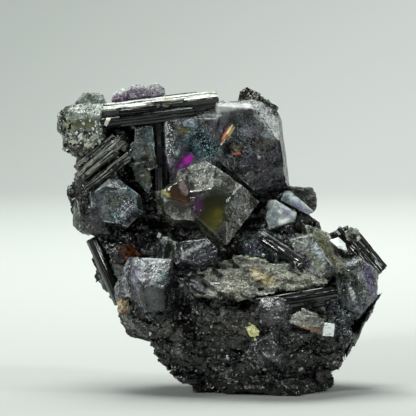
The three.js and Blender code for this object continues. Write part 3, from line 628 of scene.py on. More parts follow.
def bundle(name, rods, seed, laths=14, lath_size=0.36, finish=None):
    """A bundle of prisms, each as start, end, radius and maybe a turn, with thin laths along each one."""
    random = np.random.default_rng(seed)
    body = bmesh.new()
    for index, (start, end, radius, *turned) in enumerate(rods):
        turned = math.radians(turned[0]) if turned else None
        rod(body, start, end, radius * 0.98, seed + index, turned)
        start, end = Vector(start), Vector(end)
        axis = (end - start).normalized()
        side = axis.orthogonal().normalized()
        for lath in range(laths):
            out = Matrix.Rotation(random.uniform(0, 2 * math.pi), 3, axis) @ side
            first, last = sorted(random.uniform(-LATH_PAST, 1.0 + LATH_PAST, 2))
            last = min(max(last, first + 0.3), 1.0 + LATH_PAST)
            foot = out * radius * random.uniform(0.72, 0.95)
            size = radius * lath_size * random.uniform(0.3, 1.3)
            lean = out * radius * random.uniform(-0.06, 0.1)
            points = (start.lerp(end, first) + foot, start.lerp(end, last) + foot + lean)
            rod(body, *points, size, seed + 97 * lath + index, flat=0.5, sides=12, rings=3, groove=0.1,
                ragged=2.0)
    mesh = bpy.data.meshes.new(name)
    bmesh.ops.recalc_face_normals(body, faces=body.faces)
    body.to_mesh(mesh)
    body.free()
    start, end = rods[0][:2]
    finish = finish or schorl_finish(name, Vector(end) - Vector(start))
    return show(name, mesh, finish, "black_schorl", name)


def schorl_finish(name, axis, crest_highlight=0.0, dusty=(26, 27, 26), top_sheen=0.0, sheen_from=-100.0, rise=0.0,
                  depth=0.05):
    """Black and glassy, with fine grooves along the axis, dust in some and a painted highlight on the crests
    of others. A painted sheen of the light from above lies on what looks up and forward, pale and tan in
    patches, above a height that rises to the right."""
    surface = Surface(name)
    place = surface.place()
    axis = axis.normalized()
    side = axis.orthogonal().normalized()
    other = axis.cross(side)
    parts = [surface.vectors("DOT_PRODUCT", place, tuple(way), output="Value") for way in (side, other, axis)]
    grooved = surface.node("ShaderNodeCombineXYZ", {}, {0: parts[0], 1: parts[1], 2: parts[2] * 0.06})
    grooves = surface.noise(grooved, 0.18, 4.0)
    dust = surface.noise(place, 0.9, 5.0)
    grit = cell_chance(surface, place, 0.2)
    colour = surface.mix(surface.step(grooves * dust, 0.3, 0.42), BLACK, dusty)
    # Painted highlight: silvery crests of the grooves, in patches.
    edge_highlight = surface.step(grooves + 0.3 * dust + 0.12 * grit, 0.76, 0.88) * crest_highlight
    edge_highlight = edge_highlight * surface.step(surface.noise(place, 1.6, 4.0), 0.44, 0.58)
    colour = surface.mix(edge_highlight, colour, (176, 180, 176))
    # Painted sheen: faces that look up and forward, towards the light above, are painted pale and tan in
    # patches.
    if top_sheen:
        own = surface.node("ShaderNodeNewGeometry", {}, {}, "Normal")
        upward = surface.vectors("DOT_PRODUCT", own, (0.0, -0.5, 0.86), output="Value")
        height = surface.vectors("DOT_PRODUCT", place, (-rise, 0.0, 1.0), output="Value")
        sheen_mask = surface.step(upward + 1.2 * (dust - 0.5), 0.5, 0.8) * surface.step(grooves, 0.4, 0.54)
        sheen_mask = sheen_mask * surface.step(height + dust, sheen_from + 0.3, sheen_from + 0.7)
        stain = surface.mix(surface.step(dust, 0.5, 0.62), (198, 203, 196), (150, 140, 118))
        colour = surface.mix(sheen_mask * top_sheen, colour, stain)
    return surface.solid(colour, 0.04 + 0.16 * dust, surface.bump(grooves + 0.3 * dust, depth), PRISM_IOR)


top_rods = [
    ((-19.8, 0, 37.6), (-4.6, 0.6, 39.4), 1.35, 45),
    ((-20.4, -1, 36.3), (-7.6, -0.6, 37.9), 0.75, 0),
    ((-18.6, 1.5, 37.3), (-6.2, 1.9, 38.9), 1.1, 45),
    ((-17.5, -1, 37.7), (-10.4, -0.5, 38.5), 0.5, 10),
]
# The top bundle: a faint painted highlight on its crests and a strong painted sheen on its upper faces.
top_finish = schorl_finish("schorl_top", Vector((15.2, 0.6, 1.8)), crest_highlight=0.1, dusty=BLACK, top_sheen=0.78,
                           sheen_from=39.7, rise=0.09, depth=0.09)
bundle("top_schorl", top_rods, seed=100, laths=13, lath_size=0.3, finish=top_finish)
left_rods = [
    ((-23.2, -1.8, 28.9), (-17.3, -1, 34), 0.85),
    ((-21.9, -2.3, 27.6), (-16.3, -1.4, 31.9), 0.6),
    ((-23.3, -0.9, 30.2), (-18.4, -0.2, 34.4), 0.65),
    ((-22.4, -2.3, 28.9), (-18.1, -1.7, 32.6), 0.5),
]
# The left bundle: painted highlights on its crests and a painted sheen on its upper faces.
left_finish = schorl_finish("schorl_left", Vector((6.1, 0.8, 5.3)), crest_highlight=1, top_sheen=0.4, depth=0.09)
bundle("left_schorl", left_rods, seed=200, laths=10, finish=left_finish)
bundle("upright_schorl", [
    ((-12.2, 0.4, 37), (-11.9, 0.4, 24.5), 0.8),
    ((-11.6, 1.6, 36.5), (-11.4, 1.4, 25.5), 0.75),
], seed=300)
bundle("shoulder_schorl", [
    ((11.4, 1, 20.9), (16.5, 1.2, 15.2), 1.8, 10),
    ((13.4, 2.6, 21), (17.3, 2.4, 16.2), 1.5, 10),
    ((10.6, 1.4, 20.4), (13.4, 1.6, 21.6), 0.8),
], seed=400, laths=6, lath_size=0.16)
bundle("stub_schorl", [((4.2, 0.4, 20.4), (7.6, -0.4, 23.5), 1.25)], seed=500)
# The shelf prisms carry a faint painted highlight on their crests.
bundle("shelf_schorl", [
    ((0.9, -8.2, 12.6), (11.1, -6.4, 14), 0.85),
    ((3.4, -7.5, 11.7), (9.8, -6.4, 13), 0.8),
], seed=600, finish=schorl_finish("schorl_shelf", Vector((10.2, 1.8, 1.4)), crest_highlight=0.15))
bundle("sharp_schorl", [((1.6, -3.4, 21.3), (6.8, -6.3, 18), 0.85)], seed=700, laths=5)
bundle("edge_schorl", [
    ((-21.5, 0.2, 20.6), (-17.6, -0.8, 11.9), 0.75),
    ((-21.2, 1.4, 20.4), (-17.4, 0.6, 12.6), 0.75),
], seed=800, laths=0)
bundle("back_schorl_high", [
    ((-6.4, 8.2, 23.4), (-1.2, 7.6, 37), 1.2),
    ((-4.2, 8.8, 22.8), (1.6, 7.4, 33.8), 1),
], seed=900)
bundle("back_schorl_low", [
    ((-12.6, 7, 9.6), (-6.2, 7.6, 23.2), 1.3),
    ((-14.8, 6.2, 10.6), (-9.4, 7.2, 24.4), 1),
], seed=1000)
bundle("back_schorl_base", [((-6.4, 6.4, 5.4), (9.4, 6.6, 7.6), 1.3)], seed=1100)


# Three broken blocks of schorl: the brown-black wedge behind the largest fluorite, the mottled olive-brown
# one right of the middle, and the thin slab on the right flank.
def block_mesh(name, grid, relief, size, seed, swell=0.0):
    mesh = even_mesh(name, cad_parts[name].data, grid)
    points = columns(mesh)
    height = swell + relief * (broken(points, size, seed) + 0.4 * broken(points, 0.4 * size, seed + 9))
    points += columns(mesh, "normal") * height[:, None]
    move_points(mesh, points)
    return mesh


def block_finish(name, low, high, mottle):
    surface = Surface(name)
    place = surface.place()
    cloud = surface.noise(place, 1.1, 5.0)
    grit = cell_chance(surface, place, 0.22)
    colour = surface.mix(surface.step(cloud, 0.4, 0.62), low, high)
    colour = surface.mix(surface.step(grit + cloud, 1.2, 1.32), colour, mottle)
    normal = surface.bump(surface.noise(place, 0.25, 4.0), 0.08, facet_normal(surface, place, 0.6, 0.35))
    return surface.solid(colour, 0.06 + 0.25 * cloud, normal, SCHORL_IOR)


brown_finish = block_finish("schorl_brown", (6, 7, 5), (18, 18, 14), (70, 68, 54))
crest_finish = block_finish("schorl_crest", (14, 14, 12), (44, 43, 38), (128, 126, 114))
flank_finish = block_finish("schorl_flank", BLACK, (34, 36, 36), (96, 100, 98))
for name, finish, slot, grid, relief, size, seed, swell in (
    ("crest_schorl", crest_finish, "brown_schorl", 0.14, 0.16, 1.2, 61, 0.0),
    ("brown_schorl", brown_finish, "brown_schorl", 0.14, 0.12, 1.0, 62, 0.3),
    ("flank_schorl", flank_finish, "black_schorl", 0.16, 0.16, 1.6, 63, 0.0),
):
    show(name, block_mesh(name, grid, relief, size, seed, swell), finish, slot, name)


# The largest fluorite: a smoky cube with cut corners and a smaller twin grown into its left side, see-through
# where its faces are clean and grey where they are etched. Each crystal is cut flat by its faces, and each
# face has a point on it, the way it looks and how frosted it is.
UNCUT_SIZE = 60
RIM_REACH = 0.32
IMPRINT_SIDES = np.array([[1, 0.5, -0.5], [0, 0.87, 0.87]])


def cut_crystal(faces):
    body = bmesh.new()
    middle = sum((Vector(point) for point, _, _ in faces), Vector()) / len(faces)
    bmesh.ops.create_cube(body, size=UNCUT_SIZE * MM, matrix=Matrix.Translation(middle * MM))
    for point, way, _ in faces:
        whole = body.verts[:] + body.edges[:] + body.faces[:]
        cut = bmesh.ops.bisect_plane(
            body, geom=whole, plane_co=Vector(point) * MM, plane_no=Vector(way), clear_outer=True)
        outline = [part for part in cut["geom_cut"] if isinstance(part, bmesh.types.BMEdge)]
        bmesh.ops.edgeloop_fill(body, edges=outline)
    bmesh.ops.recalc_face_normals(body, faces=body.faces)
    return body


def plain_crystal(name):
    body = bmesh.new()
    body.from_mesh(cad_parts[name].data)
    bmesh.ops.remove_doubles(body, verts=body.verts, dist=0.01 * MM)
    return body


def rim_marks(solid, least_angle):
    """Points along the outer edges of a crystal that are sharper than an angle."""
    marks = []
    for edge in solid.edges:
        if len(edge.link_faces) == 2 and edge.calc_face_angle_signed(0) > least_angle:
            first, last = (v.co / MM for v in edge.verts)
            count = max(2, int((last - first).length / (0.3 * RIM_REACH)))
            marks += [first.lerp(last, i / count) for i in range(count + 1)]
    return marks


def joined_mesh(name, solids):
    """One mesh of crystals that run through each other."""
    joined = bpy.data.meshes.new(name)
    body = bmesh.new()
    for solid in solids:
        solid.to_mesh(joined)
        body.from_mesh(joined)
        solid.free()
    body.to_mesh(joined)
    body.free()
    return joined


def rim_nearness(points, marks):
    """1 on the edges of a crystal, down to 0 a little way in from them."""
    tree = kdtree.KDTree(len(marks))
    for index, mark in enumerate(marks):
        tree.insert(mark, index)
    tree.balance()
    away = np.array([tree.find(point)[2] for point in points])
    return np.clip(1 - away / RIM_REACH, 0, 1)


def face_frost(points, parts):
    """How frosted the face is that each point lies on."""
    least = np.full(len(points), np.inf)
    frost = np.zeros(len(points))
    for faces in parts:
        ways = unit(np.array([way for _, way, _ in faces], float))
        levels = (ways * np.array([point for point, _, _ in faces])).sum(axis=1)
        beyond = points @ ways.T - levels
        outside = beyond.max(axis=1)
        nearer = outside < least
        own = np.array([level for _, _, level in faces])[beyond.argmax(axis=1)]
        frost[nearer] = own[nearer]
        least[nearer] = outside[nearer]
    return frost


def chance_frost(normals, least, most, seed):
    """How frosted the face is that each point lies on, where a plain solid's faces look the same way."""
    turned = np.floor(normals * 1.6 + 0.5).astype(np.int64)
    return least + (most - least) * chance(turned, seed)


def imprint(points, normals, middle, radius):
    """1 in a six-sided imprint with steep sides in the front of a crystal, and 0 beside it."""
    across = points[:, [0, 2]] - np.array(middle)
    corner = np.abs(across @ IMPRINT_SIDES).max(axis=1) / radius
    return np.clip((1 - corner) * 5, 0, 1) * (normals[:, 1] < -0.2)


def store(mesh, name, values):
    stored = mesh.attributes.new(name, "FLOAT", "POINT")
    stored.data.foreach_set("value", values)


def crystal_mesh(name, parts=(), frosted=(0.2, 0.8), grid=0.13, steps=0.05, pits=0.02, seed=1, pit=None):
    """A crystal's mesh, cut by the faces of its parts or taken from its plain solid, then stepped and pitted.
    It stores how near each point is to an edge and how frosted its face is."""
    solids = [cut_crystal(faces) for faces in parts] or [plain_crystal(name)]
    least_angle = 0.3 if parts else 0.6
    marks = [mark for solid in solids for mark in rim_marks(solid, least_angle)]
    mesh = even_mesh(name, joined_mesh(name, solids), grid)
    points = columns(mesh)
    normals = columns(mesh, "normal")
    rim = rim_nearness(points, marks)
    frost = face_frost(points, parts) if parts else chance_frost(normals, *frosted, seed + 5)

    terraces = np.floor(3.5 * drift(points, 1.9, seed) + 0.7 * drift(points, 0.7, seed + 1)) / 3.5
    relief = steps * terraces + pits * broken(points, 0.5, seed + 2)
    relief -= 0.1 * np.maximum(rim - 0.5, 0) * (1 + drift(points, 0.5, seed + 3))
    points += normals * relief[:, None]
    if pit:
        middle, radius, depth = pit
        sunk = imprint(points, normals, middle, radius)
        points[:, 1] += depth * sunk * (1 + 0.35 * broken(points, 0.6, seed + 7))
        frost = np.maximum(frost, 0.85 * sunk)
    store(mesh, "rim", rim)
    store(mesh, "frost", frost)
    move_points(mesh, points)
    return mesh


# The pale grey of the painted highlights on the fluorites.
HIGHLIGHT_GREY = (198, 202, 202)
SKIN_HAZE = 0.6
THIN_MARK = 0.3


def crystal_finish(name, glass, skin, shade, marks=(), rim=0.7, glint_strength=0.6, absorb=140,
                   tint=(0.55, 0.5, 0.6, 1.0)):
    """Tinted glass inside, under an etched skin that is thick on frosted faces and thin on clean ones.
    Painted highlights lie along parts of the edges, as glints that are densest on frosted faces, and along
    cracks. A mark is a start, an end, a width, a colour and a strength, and it is grainy unless it is called
    dotted or solid, which is smooth as if seen through a clean face."""
    surface = Surface(name)
    place = surface.place()
    ragged = warped(surface, place, 0.5, 0.7)
    cloud = surface.noise(place, 1.6, 6.0)
    fine = surface.noise(place, 0.3, 5.0)
    red, green, _ = channels(surface, surface.cells(place, 0.19, "Color"))
    dots = cell_chance(surface, place, 0.13)
    patch = cell_chance(surface, ragged, 1.1)
    crack = surface.cells(place, 1.4, "Distance", "DISTANCE_TO_EDGE")
    frost = surface.node("ShaderNodeAttribute", {"attribute_name": "frost"}, {}, "Fac")
    edge = surface.node("ShaderNodeAttribute", {"attribute_name": "rim"}, {}, "Fac")

    cover = (frost + (cloud - 0.5) * SKIN_HAZE + (fine - 0.5) * 0.6 + (patch - 0.5) * 0.3).clamped()
    mottle = cloud + 0.3 * (red - 0.5) + 0.2 * (patch - 0.5)
    colour = surface.mix(surface.step(mottle, 0.36, 0.62), shade, skin)
    # Painted highlights: scattered glints, densest on frosted faces, light along parts of the edges and along
    # cracks.
    painted_glints = surface.step(green + 0.5 * (cloud - 0.5), 0.87, 0.93) * (0.25 + frost).clamped()
    edge_highlight = surface.step(edge + 0.9 * (fine - 0.5) + 1.8 * (cloud - 0.5), 0.62, 1.0) * rim
    crack_glints = (1 - surface.step(crack, 0.01, 0.05)) * surface.step(cloud, 0.5, 0.6) * 0.5
    bright = (edge_highlight + painted_glints * glint_strength + crack_glints).clamped()
    colour = surface.mix(bright, colour, HIGHLIGHT_GREY)
    cover = cover.most(bright)
    polish = 0
    for start, end, width, mark_colour, strength, *kind in marks:
        mark = streak(surface, place if width < THIN_MARK else ragged, start, end, width) * strength
        if "solid" in kind:
            polish = mark.most(polish)
        elif "dotted" in kind:
            mark = mark * surface.step(dots, 0.78, 0.84)
        else:
            mark = mark * surface.step(fine + 0.3 * red, 0.25, 0.8)
        colour = surface.mix(mark, colour, mark_colour)
        cover = cover.most(mark)
    smooth = surface.bump(fine, 0.03, facet_normal(surface, place, 0.45, 0.1))
    clean = surface.principled(base_color=glass, roughness=0.05 + 0.16 * fine, normal=smooth,
                               ior=FLUORITE_IOR, transmission=1.0)
    grainy = 1 - polish if polish else 1
    rough = surface.bump((red + fine) * grainy, 0.05, facet_normal(surface, place, 0.22, 0.5 * grainy))
    etched = surface.principled(base_color=colour, roughness=0.07 + 0.18 * grainy, normal=rough,
                                ior=FLUORITE_IOR)
    both = surface.node("ShaderNodeMixShader", {}, {0: cover, 1: clean, 2: etched})
    smoke = surface.node("ShaderNodeVolumeAbsorption", {}, {"Color": tint, "Density": absorb})
    return surface.finish(both, smoke)


def crystal(name, slot, finish, **shape):
    return show(name, crystal_mesh(name, **shape), finish, slot, name, smooth=True)


WHITE = (222, 226, 226)
SMOKE_GLASS = (150, 146, 160)
SMOKE_SKIN = (116, 116, 120)
SMOKE_SHADE = (44, 43, 48)

big_cube = [
    ((0, -1.7, 32.8), (-0.08, -1, 0.02), 0.22),
    ((-2.3, -1.4, 38.5), (0.02, -0.55, 0.83), 0.55),
    ((1.9, -1.8, 36.8), (0.62, -0.58, 0.48), 0.95),
    ((4.5, 0.5, 32.7), (1, -0.12, 0.14), 0.35),
    ((2.6, -2, 27.9), (0.18, -0.3, -0.93), 0.3),
    ((-1.8, -1.6, 29.3), (-0.62, -0.3, -0.72), 0.3),
    ((-4.5, -1.3, 34.7), (-0.9, -0.42, 0.05), 0.3),
    ((-2.4, 0.6, 39.1), (-0.1, 0.25, 0.96), 0.8),
    ((2, 1, 38.6), (0.36, 0.3, 0.88), 0.7),
    ((0.1, 7, 33.7), (0, 1, 0.1), 0.4),
    ((3.8, 4.5, 33.2), (0.7, 0.7, 0), 0.5),
]
big_twin = [
    ((-9.4, -1.4, 32.7), (-0.15, -1, 0.05), 0.45),
    ((-8.8, -1.3, 36.8), (-0.1, -0.5, 0.86), 0.55),
    ((-8.5, 0.6, 37.6), (-0.36, 0.1, 0.92), 0.7),
    ((-11.6, 0.2, 34.3), (-1, -0.2, -0.04), 0.7),
    ((-11.1, 0, 30.2), (-0.95, -0.2, -0.2), 0.6),
    ((-9.4, -0.6, 27.9), (-0.3, -0.3, -0.9), 0.4),
    ((-4.9, -1.9, 33.5), (0.8, -0.6, -0.1), 0.5),
    ((-3.5, 0, 34), (1, 0, 0), 0.4),
    ((-8.1, 4.2, 33.9), (0, 1, 0), 0.4),
]
big_marks = [
    ((1.6, -2, 38.3), (3.4, -1.4, 35.6), 2.3, (204, 208, 208), 0.9),
    ((2.7, -1.4, 35.6), (3.3, -1.2, 35.2), 0.3, (86, 48, 124), 0.9),
    ((2.2, -1.6, 34.7), (2.8, -1.4, 34.6), 0.9, (150, 162, 170), 0.85),
    ((1.2, -1.8, 33.7), (3.4, -1.4, 33.7), 0.9, (88, 80, 54), 0.7),
    ((-0.6, -2, 36), (-0.6, -2, 32.8), 2.4, (150, 172, 178), 0.8, "dotted"),
    ((0.4, -2, 34.6), (2, -2, 31.6), 2.2, (96, 96, 96), 0.7, "dotted"),
    # A crack inside, its iridescent colours painted as a reflection, in an olive-grey haze.
    ((-2.6, -1.6, 35.6), (-3.2, -1.6, 34.4), 0.8, (118, 106, 84), 0.6),
    ((-2.8, -1.4, 35.6), (-3.5, -1.4, 34.5), 0.5, (128, 66, 60), 0.9, "solid"),
    ((-2.8, -1.4, 35.8), (-3.7, -1.4, 34.2), 0.24, (216, 132, 88), 1, "solid"),
    ((-2.4, -1.4, 36.1), (-3.9, -1.4, 33.5), 0.22, (238, 230, 190), 1, "solid"),
    ((-2.2, -1.4, 35.8), (-2.9, -1.4, 34.7), 0.26, (186, 164, 96), 0.9, "solid"),
    ((-3.1, -1.4, 34.8), (-3.8, -1.4, 33.8), 0.18, (170, 80, 62), 1, "solid"),
    # Painted reflection: a small orange glint with olive above it.
    ((-2.2, -1.6, 33.2), (-1.6, -1.6, 32.9), 0.8, (98, 86, 40), 0.7),
    ((-2.2, -1.6, 32.2), (-1.4, -1.6, 32.3), 0.4, (196, 108, 60), 0.9),
    ((1.2, -1.8, 31.7), (1.2, -1.8, 31.7), 0.35, WHITE, 1),
    ((-0.6, -1.7, 31.4), (2, -1.8, 30.6), 1.3, (72, 56, 82), 0.6),
    ((2.6, -1.8, 28.8), (4.3, -1.4, 29.4), 0.7, (86, 70, 112), 0.6),
    # Painted highlights: a white band along the top edge and a broad bright band on the top face.
    ((-7, -0.2, 38.4), (0.2, 0.2, 39.2), 0.5, WHITE, 0.95),
    ((-5, -1.2, 38.2), (-0.6, -1.2, 38.8), 1.2, (212, 216, 214), 0.7, "solid"),
    ((-0.6, -1.6, 37.2), (-4.6, -1.6, 36.4), 1.5, (34, 35, 36), 0.7, "solid"),
    ((-11.4, -1, 36.6), (-11.3, -0.8, 32.6), 0.45, (178, 180, 184), 0.85),
    # Painted highlight along the twin's top rim.
    ((-10.9, -1, 36.9), (-5, -1, 37.6), 0.55, (150, 152, 156), 0.8),
    ((-8.6, -1.5, 36.3), (-7.6, -1.5, 36.1), 1.0, (148, 166, 178), 0.9),
    ((-9.5, -1.6, 35.4), (-8, -1.6, 35.1), 0.9, (130, 122, 60), 0.9),
    ((-10.7, -1.6, 35.4), (-10.2, -1.6, 34.9), 0.5, (220, 120, 76), 1),
    # Painted highlight: a curved cyan-white glint.
    ((-10.7, -1.6, 32.9), (-9.9, -1.6, 32.2), 0.55, (190, 216, 218), 1),
    ((-9.9, -1.6, 32.2), (-9.6, -1.6, 33), 0.45, (190, 216, 218), 1),
    ((-10.4, -1.6, 34.2), (-9.2, -1.6, 33.4), 1.2, (74, 84, 96), 0.8),
    ((-10.8, -1.4, 31.4), (-10.2, -1.4, 30), 0.8, (150, 140, 166), 0.7),
    ((-8, -1.7, 32.4), (-9.5, -1.7, 30.4), 1.5, (48, 22, 58), 0.95, "solid"),
    ((-8.5, -1.5, 31.3), (-9.2, -1.5, 30.3), 0.9, (120, 34, 124), 0.8),
    ((-7.9, -1.5, 31.9), (-8.4, -1.5, 31.3), 0.7, (184, 40, 176), 0.9),
    ((-9.2, -1.7, 30.6), (-9.6, -1.7, 30), 0.5, (128, 84, 136), 0.8),
    ((-11.2, -1.2, 36), (-10.9, -1.2, 32.6), 1.4, WHITE, 1, "dotted"),
    ((-7.4, -0.8, 34), (-5.8, -0.8, 32.8), 3.1, (22, 32, 37), 0.95, "solid"),
    ((-6.8, -0.8, 34.4), (-5.6, -0.8, 32.4), 3, (150, 188, 196), 1, "dotted"),
    ((-8, -0.8, 34), (-6.8, -0.8, 31.8), 1.4, (76, 100, 108), 0.7),
    ((-8.8, -1, 33.4), (-7.1, -1, 36.2), 0.35, (140, 162, 176), 0.8),
    ((-7.1, -1, 36.2), (-5, -1, 35.5), 0.35, (140, 166, 178), 0.8),
    ((-5, -1, 35.5), (-4.2, -1, 34.3), 0.3, (104, 132, 146), 0.8),
    ((-8.4, -1.2, 34.6), (-6.8, -1.2, 35.4), 0.35, (164, 178, 180), 0.8),
    ((-6.6, -1.2, 35.4), (-5.2, -1.2, 34.8), 0.3, (150, 164, 168), 0.7),
]
crystal("big_fluorite", "smoky_fluorite", crystal_finish(
    "smoke_big", SMOKE_GLASS, SMOKE_SKIN, SMOKE_SHADE, marks=big_marks),
    parts=(big_cube, big_twin), seed=11, pit=((-6.7, 33.4), 1.75, 1.1))


# The front fluorite: an octahedron with a clean olive window in its lower left face, frosted white above and
# sugary grey on the right. A glassy knob and a rough grey one have grown into its left side.
OLIVE_GLASS = (176, 176, 110)
front_main = [
    ((-2.8, -5.7, 24.7), (0.66, -0.74, 0.1), 0.62),
    ((-6.1, -5.2, 24.9), (-0.3, -0.94, 0.1), 0.08),
    ((-4.9, -5.28, 27.75), (0.24, -0.8, 0.544), 0.5),
    ((-6.1, -4.9, 27.75), (-0.34, -0.75, 0.57), 0.95),
    ((-2.5, -2.4, 28.8), (0.58, 0.25, 0.77), 0.8),
    ((-1.2, -2.2, 23.1), (0.72, 0.1, -0.69), 0.5),
    ((-5.8, -4.6, 22.3), (-0.66, -0.25, -0.62), 0.3),
    ((-8.3, -4.4, 26.2), (-0.9, -0.4, -0.15), 0.4),
    ((-8.1, -2.6, 30.9), (-0.3, 0.3, 0.9), 0.8),
    ((-4.7, 1.2, 25.8), (0, 1, 0), 0.5),
]
glassy_knob = [
    ((-10.7, -4, 27.8), (-0.25, -0.95, 0.15), 0.15),
    ((-10.7, -3, 28.4), (-0.55, -0.2, 0.8), 0.6),
    ((-12, -3, 27.3), (-0.95, -0.3, 0), 0.3),
    ((-10.8, -3, 26.1), (-0.3, -0.3, -0.9), 0.3),
    ((-8.3, -3, 27.5), (1, 0, 0), 0.3),
    ((-9.7, -2.4, 29.4), (-0.7, 0.2, 0.7), 0.7),
    ((-10.5, 0, 27.5), (0, 1, 0), 0.5),
]
rough_knob = [
    ((-10.2, -3.9, 25.1), (-0.25, -0.95, -0.1), 0.65),
    ((-10.5, -3.4, 26.4), (-0.1, -0.3, 0.95), 0.6),
    ((-11.8, -2.8, 25.3), (-0.95, -0.3, -0.1), 0.5),
    ((-10.8, -3, 23.8), (-0.6, -0.3, -0.75), 0.4),
    ((-8.9, -3, 23.2), (-0.1, -0.3, -0.95), 0.4),
    ((-7.5, -3, 25), (1, 0, 0), 0.4),
    ((-10.1, 0, 24.8), (0, 1, 0), 0.5),
]
front_marks = [
    ((-4.2, -5.6, 26.8), (-6, -5.2, 25.6), 2.2, (32, 32, 25), 1, "solid"),
    ((-4.4, -5.7, 25.4), (-6.2, -5.3, 24), 2.2, (40, 39, 24), 1, "solid"),
    ((-4.4, -5.8, 24), (-5.4, -5.5, 22.8), 1.9, (64, 61, 24), 0.9, "solid"),
    ((-4.3, -5.8, 24.6), (-4.6, -5.8, 23.2), 0.9, (84, 80, 30), 0.6, "solid"),
    ((-7.9, -4.6, 27.2), (-7.2, -4.8, 25.4), 1.4, (72, 38, 76), 0.85, "solid"),
    ((-4.6, -5.3, 28), (-2.2, -5, 28.4), 1.5, (66, 66, 64), 0.5),
    ((-5.2, -5.6, 22.4), (-4.4, -5.6, 22.2), 0.6, (104, 102, 56), 0.6),
    ((-5.6, -6.4, 27.8), (-4.7, -6.6, 28.9), 0.35, WHITE, 0.9),
    ((-4.7, -6.4, 29.4), (-4.9, -6.6, 27.6), 0.3, WHITE, 0.8),
    ((-7.6, -4.6, 29.6), (-5.8, -5, 30.8), 0.7, (172, 172, 166), 0.7),
    ((-2.2, -4.2, 27), (-1.6, -3.8, 25), 0.7, (96, 122, 136), 0.5),
    ((-11.2, -4, 28.2), (-9, -4.2, 26.6), 3, (34, 32, 22), 0.95, "solid"),
    ((-10.4, -4, 27), (-9.2, -4.3, 26.3), 1.1, (66, 40, 25), 0.8, "solid"),
    ((-11.5, -3.9, 27.2), (-11.1, -4, 26.9), 0.6, (170, 160, 96), 0.75, "solid"),
    ((-12, -3.4, 27.4), (-11.9, -3.4, 26.7), 0.36, (168, 182, 184), 0.85, "solid"),
    ((-11.8, -3.5, 26.6), (-11.3, -3.8, 26.2), 0.36, (190, 208, 208), 0.85, "solid"),
    ((-11, -3.6, 28.8), (-9.6, -3.8, 29.4), 0.5, (150, 148, 142), 0.8),
    ((-9.2, -4.4, 28.4), (-8.6, -4.6, 27.4), 0.75, (156, 136, 138), 0.75),
    ((-8.8, -4.4, 26), (-8.4, -4.4, 25.7), 0.4, (150, 80, 48), 0.6),
]
crystal("front_fluorite", "olive_fluorite", crystal_finish(
    "olive_front", OLIVE_GLASS, (124, 124, 118), (60, 60, 56), marks=front_marks,
    tint=(0.6, 0.6, 0.35, 1.0), absorb=110),
    parts=(front_main, glassy_knob, rough_knob), seed=12)


# The left fluorite is grey-blue glass with painted highlights on its edges and a painted bright corner below,
# and the middle one is a stack of three grey-olive blocks beside the upright schorl.
left_faces = [
    ((-18.5, -3.1, 25.3), (-0.12, -1, -0.06), 0.35),
    ((-18.5, -3.3, 27.9), (0.1, -0.6, 0.79), 0.5),
    ((-16.1, -3.4, 25.7), (0.72, -0.68, 0.12), 0.4),
    ((-17.3, -3.2, 23.9), (0.45, -0.75, -0.48), 0.55),
    ((-20.3, -1.4, 28), (-0.62, -0.2, 0.76), 0.8),
    ((-17.4, -1.2, 28.6), (0.62, 0.1, 0.78), 0.6),
    ((-14.6, -0.8, 25.6), (1, 0.1, 0.15), 0.5),
    ((-15.8, -1.2, 23), (0.72, 0, -0.69), 0.5),
    ((-19.6, -1.8, 22.9), (-0.15, -0.3, -0.94), 0.3),
    ((-21.6, -1.2, 24.9), (-0.98, -0.2, 0.02), 0.5),
    ((-18.3, 2.2, 25.4), (0, 1, 0), 0.5),
]
left_marks = [
    ((-18, -3.4, 25.6), (-17.6, -3.4, 24.8), 2.6, (150, 172, 176), 0.7, "dotted"),
    # Painted highlights along the left, top and right edges.
    ((-20.8, -2, 27.2), (-20.9, -2, 25.4), 0.35, (170, 180, 182), 0.8),
    ((-19.4, -3.3, 27.2), (-16.6, -3.4, 27.4), 0.3, (164, 176, 178), 0.7),
    ((-15.6, -2.6, 26.8), (-15.2, -2.6, 24.4), 0.35, (150, 170, 186), 0.7),
    ((-18, -3.6, 26.2), (-17, -3.6, 25.4), 1.0, (104, 132, 134), 0.6),
    # Painted highlight: the bright corner below.
    ((-17.2, -3.4, 22.9), (-16.8, -3.2, 23.9), 0.9, (176, 190, 206), 0.85),
    ((-17.4, -3.4, 23.2), (-17.2, -3.4, 23.2), 0.5, (120, 84, 150), 0.8),
    ((-18.2, -3.2, 24), (-17.9, -3.2, 23.4), 0.4, (150, 204, 216), 0.8),
    ((-16.8, -3, 28.4), (-15.7, -2.8, 27), 0.5, (76, 128, 146), 0.8),
    ((-18.3, -3.6, 26.8), (-18.1, -3.6, 26.4), 0.3, (166, 188, 120), 0.7),
    # Painted highlight along the upper left edge.
    ((-20.6, -2, 27), (-19, -2.4, 29), 0.5, (182, 184, 178), 0.7),
    ((-16.4, -3.2, 25), (-16.2, -3.2, 23.8), 1.2, (108, 98, 142), 0.7),
    ((-16.4, -3.2, 25.4), (-17.2, -3.4, 23), 1.9, WHITE, 0.9, "dotted"),
    ((-18.4, -3.3, 26.4), (-18, -3.3, 25.8), 0.9, (108, 112, 78), 0.7),
]
crystal("left_fluorite", "smoky_fluorite", crystal_finish(
    "smoke_left", (146, 156, 166), (128, 136, 142), (52, 56, 60), marks=left_marks, rim=1),
    parts=(left_faces,), seed=13)
